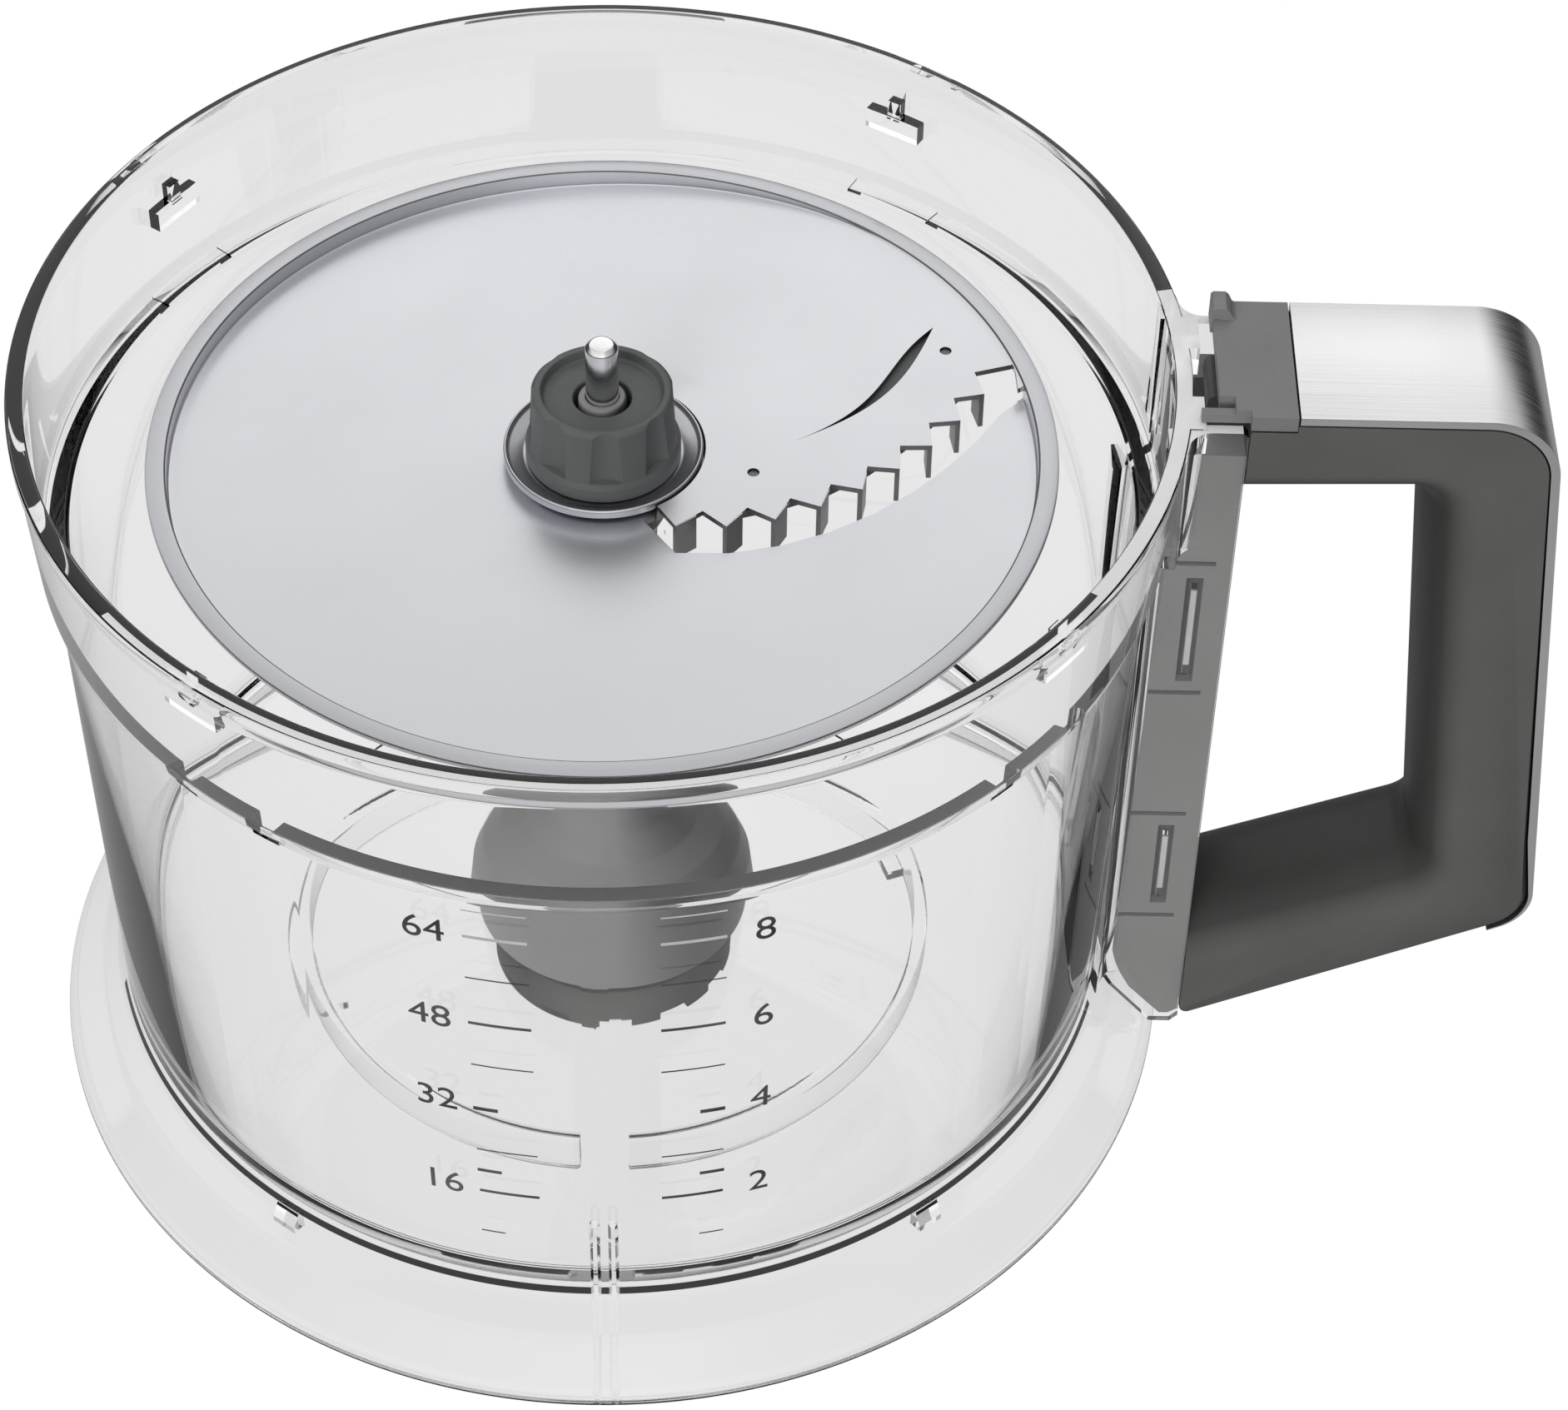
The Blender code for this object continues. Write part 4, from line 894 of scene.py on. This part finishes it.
def outer_path():
    """The handle's outside from the cap round to the end: point, inward normal, strip thickness."""
    corners = [(STRIP_START, TOP_Z), side_point(TOP_Z), side_point(32.3), (CORE_START, CORE_LOW)]
    path = rounded(corners, [0, 12.5, 9.0, 0], 24)[:-1]
    path.insert(26, side_point(52.0))
    end = Vector(path[-1]) + (Vector(corners[3]) - Vector(corners[2])).normalized() * 2.0
    path = [Vector(point) for point in path] + [end]
    result, left = [], 0.0
    for i in range(len(path) - 1, -1, -1):
        along = (path[min(i + 1, len(path) - 1)] - path[max(i - 1, 0)]).normalized()
        if i < len(path) - 1:
            left += (path[i + 1] - path[i]).length
        result.append((path[i], Vector((along.y, -along.x)), min(STRIP_T, 0.15 + 0.05 * left)))
    return result[::-1]


def core_ring(y, path):
    """The grip's closed outline at one distance to the side; the finger hole flares outwards."""
    share = max(abs(y) - HOLD_FLAT, 0.0) / (HANDLE_HALF - HOLD_FLAT)
    flare = 1.0 - math.sqrt(1.0 - min(share, 1.0) ** 2)
    above, outside, below = [amount * flare for amount in HOLD_FLARE]
    edge = 1.2 * max(abs(y) - 12.4, 0.0) ** 2 / 2.56
    gap = 0.12 + 0.3 * max(abs(y) - 13.4, 0.0)
    outline = [(CORE_START, TOP_Z - STRIP_T - gap)]
    for point, normal, thick in path:
        low = edge if point.y < 60.0 else 0.0
        inner = point + normal * (thick + gap + low * min(1.0, (60.0 - point.y) / 24.0) * 0.8)
        outline.append((inner.x, inner.y))
    hold = [(CORE_START, CORE_LOW + edge), (CORE_START, 27.4 - below),
            (139.6 + outside, 43.3 + HOLD_SLOPE * outside - below),
            (131.6 + outside, 130.3 + above), (CORE_START, 129.3 + above)]
    ends = [outline[-1]] + hold + [outline[0]]
    loop = rounded(ends, [0, 1.2, 0, 4.0 + outside, 4.0 + above, 0, 0], 10)
    outline += loop[1:-1]
    return [(x, y, z) for x, z in outline]


def make_core(path):
    curved = HANDLE_HALF - HOLD_FLAT
    half = [HOLD_FLAT + curved * math.sin(math.radians(6.0 * k)) for k in range(16)]
    rows = [-y for y in reversed(half)] + half
    obj = mesh_object("handle_grip", loft_mesh([core_ring(y, path) for y in rows]))
    cut(obj, mesh_object("pocket", box_mesh((100.0, -6.0, 134.9), (109.0, 6.0, 147.5))))
    cut(obj, mesh_object("seat", box_mesh((100.0, -15.0, 144.9), (109.7, 15.0, 149.0))))
    finish_piece(obj, CORE, "bowl_body", ["handle_core"], 38.0)


def make_strip(path):
    inner = [point + normal * thick for point, normal, thick in path]
    outline = [(point.x, point.y) for point, _, _ in path] + [(p.x, p.y) for p in reversed(inner)]
    obj = slab("handle_band", outline, -HANDLE_HALF, HANDLE_HALF, "xz")
    bevel(obj, 0.3, 3, 50.0)
    apply_modifiers(obj)
    finish_piece(obj, BRUSHED, "bowl_body", ["handle_strip"], 30.0)


def make_cap():
    low, high = RIM_Z + GAP, TOP_Z
    plate = [(109.6, -HANDLE_HALF), (109.6, HANDLE_HALF), (98.6, HANDLE_HALF), (98.6, 9.4),
             (97.5, 9.2), (97.5, -9.0), (99.9, -9.0), (99.9, -10.6), (94.6, -10.6),
             (94.6, -12.2), (102.3, -12.2), (102.3, -HANDLE_HALF)]
    obj = slab("handle_top", plate, low, high)
    cut(obj, mesh_object("lip_step", box_mesh((90.0, -15.0, 146.9), (99.9, -9.0, 150.0))))
    nub = [(97.1, low), (97.1, 149.7), (97.5, 150.1), (99.4, 150.1), (100.0, 149.6), (100.6, 148.3),
           (101.4, 147.8), (101.4, low)]
    combine(obj, slab("nub", nub, 9.4, 13.9, "xz"))
    bevel(obj, 0.25, 2, 40.0)
    apply_modifiers(obj)
    finish_piece(obj, CAP, "bowl_body", ["handle_cap"], 20.0)


make_disc()
make_hub()
make_stem()
make_coupling()
OUTER_PATH = outer_path()
make_core(OUTER_PATH)
make_strip(OUTER_PATH)
make_cap()

DRESSED = (("spine_insert", SPINE), ("push_rod", SPINE), ("interlock_lever", LEVER),
           ("lever_pin", SHINY), ("shaft_bushing", SPINE), ("shaft_seal", RUBBER),
           ("retaining_clip", SHINY), ("stem_socket", SHINY), ("blade_carrier", KNOB))
for node, mat in DRESSED:
    dress(NODES[node], mat)
    smooth(NODES[node])


def make_spring():
    """The rod's return spring: a copy of its mesh that moves with the rod."""
    spring = bpy.data.objects.new("rod_spring", NODES["push_rod_spring"].data.copy())
    bpy.context.scene.collection.objects.link(spring)
    finish_piece(spring, SHINY, "rod_body", ["push_rod_spring"])
    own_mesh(spring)


make_spring()


# ---------------------------------------------------------------- studio

def path_values(tree, camera, see_through, gloss, soft):
    """A strength for each kind of ray: the direct look, through glass, a mirror, and soft light."""
    path = tree.nodes.new("ShaderNodeLightPath")
    value = None
    for output, strength in (("Is Glossy Ray", gloss), ("Is Transmission Ray", see_through),
                             ("Is Camera Ray", camera)):
        mix = tree.nodes.new("ShaderNodeMix")
        mix.data_type = "FLOAT"
        mix.inputs["B"].default_value = strength
        if value is None:
            mix.inputs["A"].default_value = soft
        else:
            tree.links.new(value, mix.inputs["A"])
        tree.links.new(path.outputs[output], mix.inputs["Factor"])
        value = mix.outputs["Result"]
    return value


def make_floor():
    """A white floor that glows evenly; further out only the direct look still finds it white."""
    bm = bmesh.new()
    bmesh.ops.create_grid(bm, x_segments=1, y_segments=1, size=6000.0)
    floor = mesh_object("studio_floor", bm)
    floor.location.z = -0.0003
    mat = bpy.data.materials.new("studio_white")
    mat.use_nodes = True
    tree = mat.node_tree
    tree.nodes.clear()
    coords = tree.nodes.new("ShaderNodeTexCoord")
    distance = tree.nodes.new("ShaderNodeVectorMath")
    distance.operation = "LENGTH"
    tree.links.new(coords.outputs["Object"], distance.inputs[0])
    fade = remap(tree, distance.outputs["Value"], 1.0, 0.04, 0.42, 0.95)
    path = tree.nodes.new("ShaderNodeLightPath")
    direct = tree.nodes.new("ShaderNodeMath")
    direct.operation = "MAXIMUM"
    tree.links.new(fade, direct.inputs[0])
    tree.links.new(path.outputs["Is Camera Ray"], direct.inputs[1])
    total = tree.nodes.new("ShaderNodeMath")
    total.operation = "MULTIPLY"
    tree.links.new(direct.outputs["Value"], total.inputs[0])
    tree.links.new(path_values(tree, 1.0, 0.80, 0.35, 0.2), total.inputs[1])
    glow = tree.nodes.new("ShaderNodeEmission")
    output = tree.nodes.new("ShaderNodeOutputMaterial")
    tree.links.new(total.outputs["Value"], glow.inputs["Strength"])
    tree.links.new(glow.outputs["Emission"], output.inputs["Surface"])
    floor.data.materials.append(mat)


def ramp_node(tree, value, stops):
    ramp = tree.nodes.new("ShaderNodeValToRGB")
    while len(ramp.color_ramp.elements) < len(stops):
        ramp.color_ramp.elements.new(0.5)
    for element, (place, level) in zip(ramp.color_ramp.elements, stops):
        element.position = place
        element.color = (level, level, level, 1.0)
    tree.links.new(value, ramp.inputs["Fac"])
    return ramp.outputs["Color"]


SKY_HEIGHT = ((0.0, 0.04), (0.25, 0.055), (0.4, 0.5), (0.5, 0.84),
              (0.58, 0.94), (0.68, 0.8), (0.75, 0.66), (1.0, 0.66))
SKY_ACROSS = ((0.0, 0.6), (0.3, 0.8), (0.44, 0.87), (0.56, 1.0),
              (0.64, 0.86), (0.74, 0.52), (0.88, 0.38), (1.0, 0.28))
WHITE_LEVEL = 0.667            # times the world's strength of 1.5 it shows as white


def make_world():
    """A bright sky, dark low down and to the right; looked at directly it is an even white."""
    world = bpy.data.worlds.new("studio")
    bpy.context.scene.world = world
    world.use_nodes = True
    tree = world.node_tree
    back = tree.nodes["Background"]
    coords = tree.nodes.new("ShaderNodeTexCoord")
    split = tree.nodes.new("ShaderNodeSeparateXYZ")
    tree.links.new(coords.outputs["Generated"], split.inputs["Vector"])
    height = ramp_node(tree, split.outputs["Z"], SKY_HEIGHT)
    across = remap(tree, split.outputs["X"], 0.0, 1.0, -1.0, 1.0)
    sideways = ramp_node(tree, across, SKY_ACROSS)
    light = tree.nodes.new("ShaderNodeMix")
    light.data_type = "RGBA"
    light.blend_type = "MULTIPLY"
    light.inputs["Factor"].default_value = 1.0
    tree.links.new(height, light.inputs["A"])
    tree.links.new(sideways, light.inputs["B"])
    path = tree.nodes.new("ShaderNodeLightPath")
    mix = tree.nodes.new("ShaderNodeMix")
    mix.data_type = "RGBA"
    mix.inputs["B"].default_value = (WHITE_LEVEL, WHITE_LEVEL, WHITE_LEVEL, 1.0)
    tree.links.new(path.outputs["Is Camera Ray"], mix.inputs["Factor"])
    tree.links.new(light.outputs["Result"], mix.inputs["A"])
    tree.links.new(mix.outputs["Result"], back.inputs["Color"])
    back.inputs["Strength"].default_value = 1.5


def make_key():
    """A broad soft light from the front; polished things and glass don't mirror it."""
    data = bpy.data.lights.new("key", "SUN")
    data.energy = 1.8
    data.angle = math.radians(35.0)
    light = bpy.data.objects.new("key", data)
    light.matrix_world = Matrix.Rotation(math.radians(-22.0), 4, "Z") @ Matrix.Rotation(
        math.radians(80.0), 4, "X")
    light.visible_glossy = False
    light.visible_transmission = False
    bpy.context.scene.collection.objects.link(light)


def make_camera():
    data = bpy.data.cameras.new("camera")
    data.sensor_width = 36.0
    data.sensor_fit = "HORIZONTAL"
    data.lens = 98.08
    data.clip_end = 50.0
    camera = bpy.data.objects.new("camera", data)
    turn = Matrix.Rotation(math.radians(44.36), 4, "X") @ Matrix.Rotation(0.0214, 4, "Z")
    camera.matrix_world = Matrix.Translation((-0.00132, -0.5131, 0.59205)) @ turn
    bpy.context.scene.collection.objects.link(camera)
    bpy.context.scene.camera = camera


make_floor()
make_world()
make_key()
make_camera()
bpy.context.scene.view_settings.view_transform = "Standard"
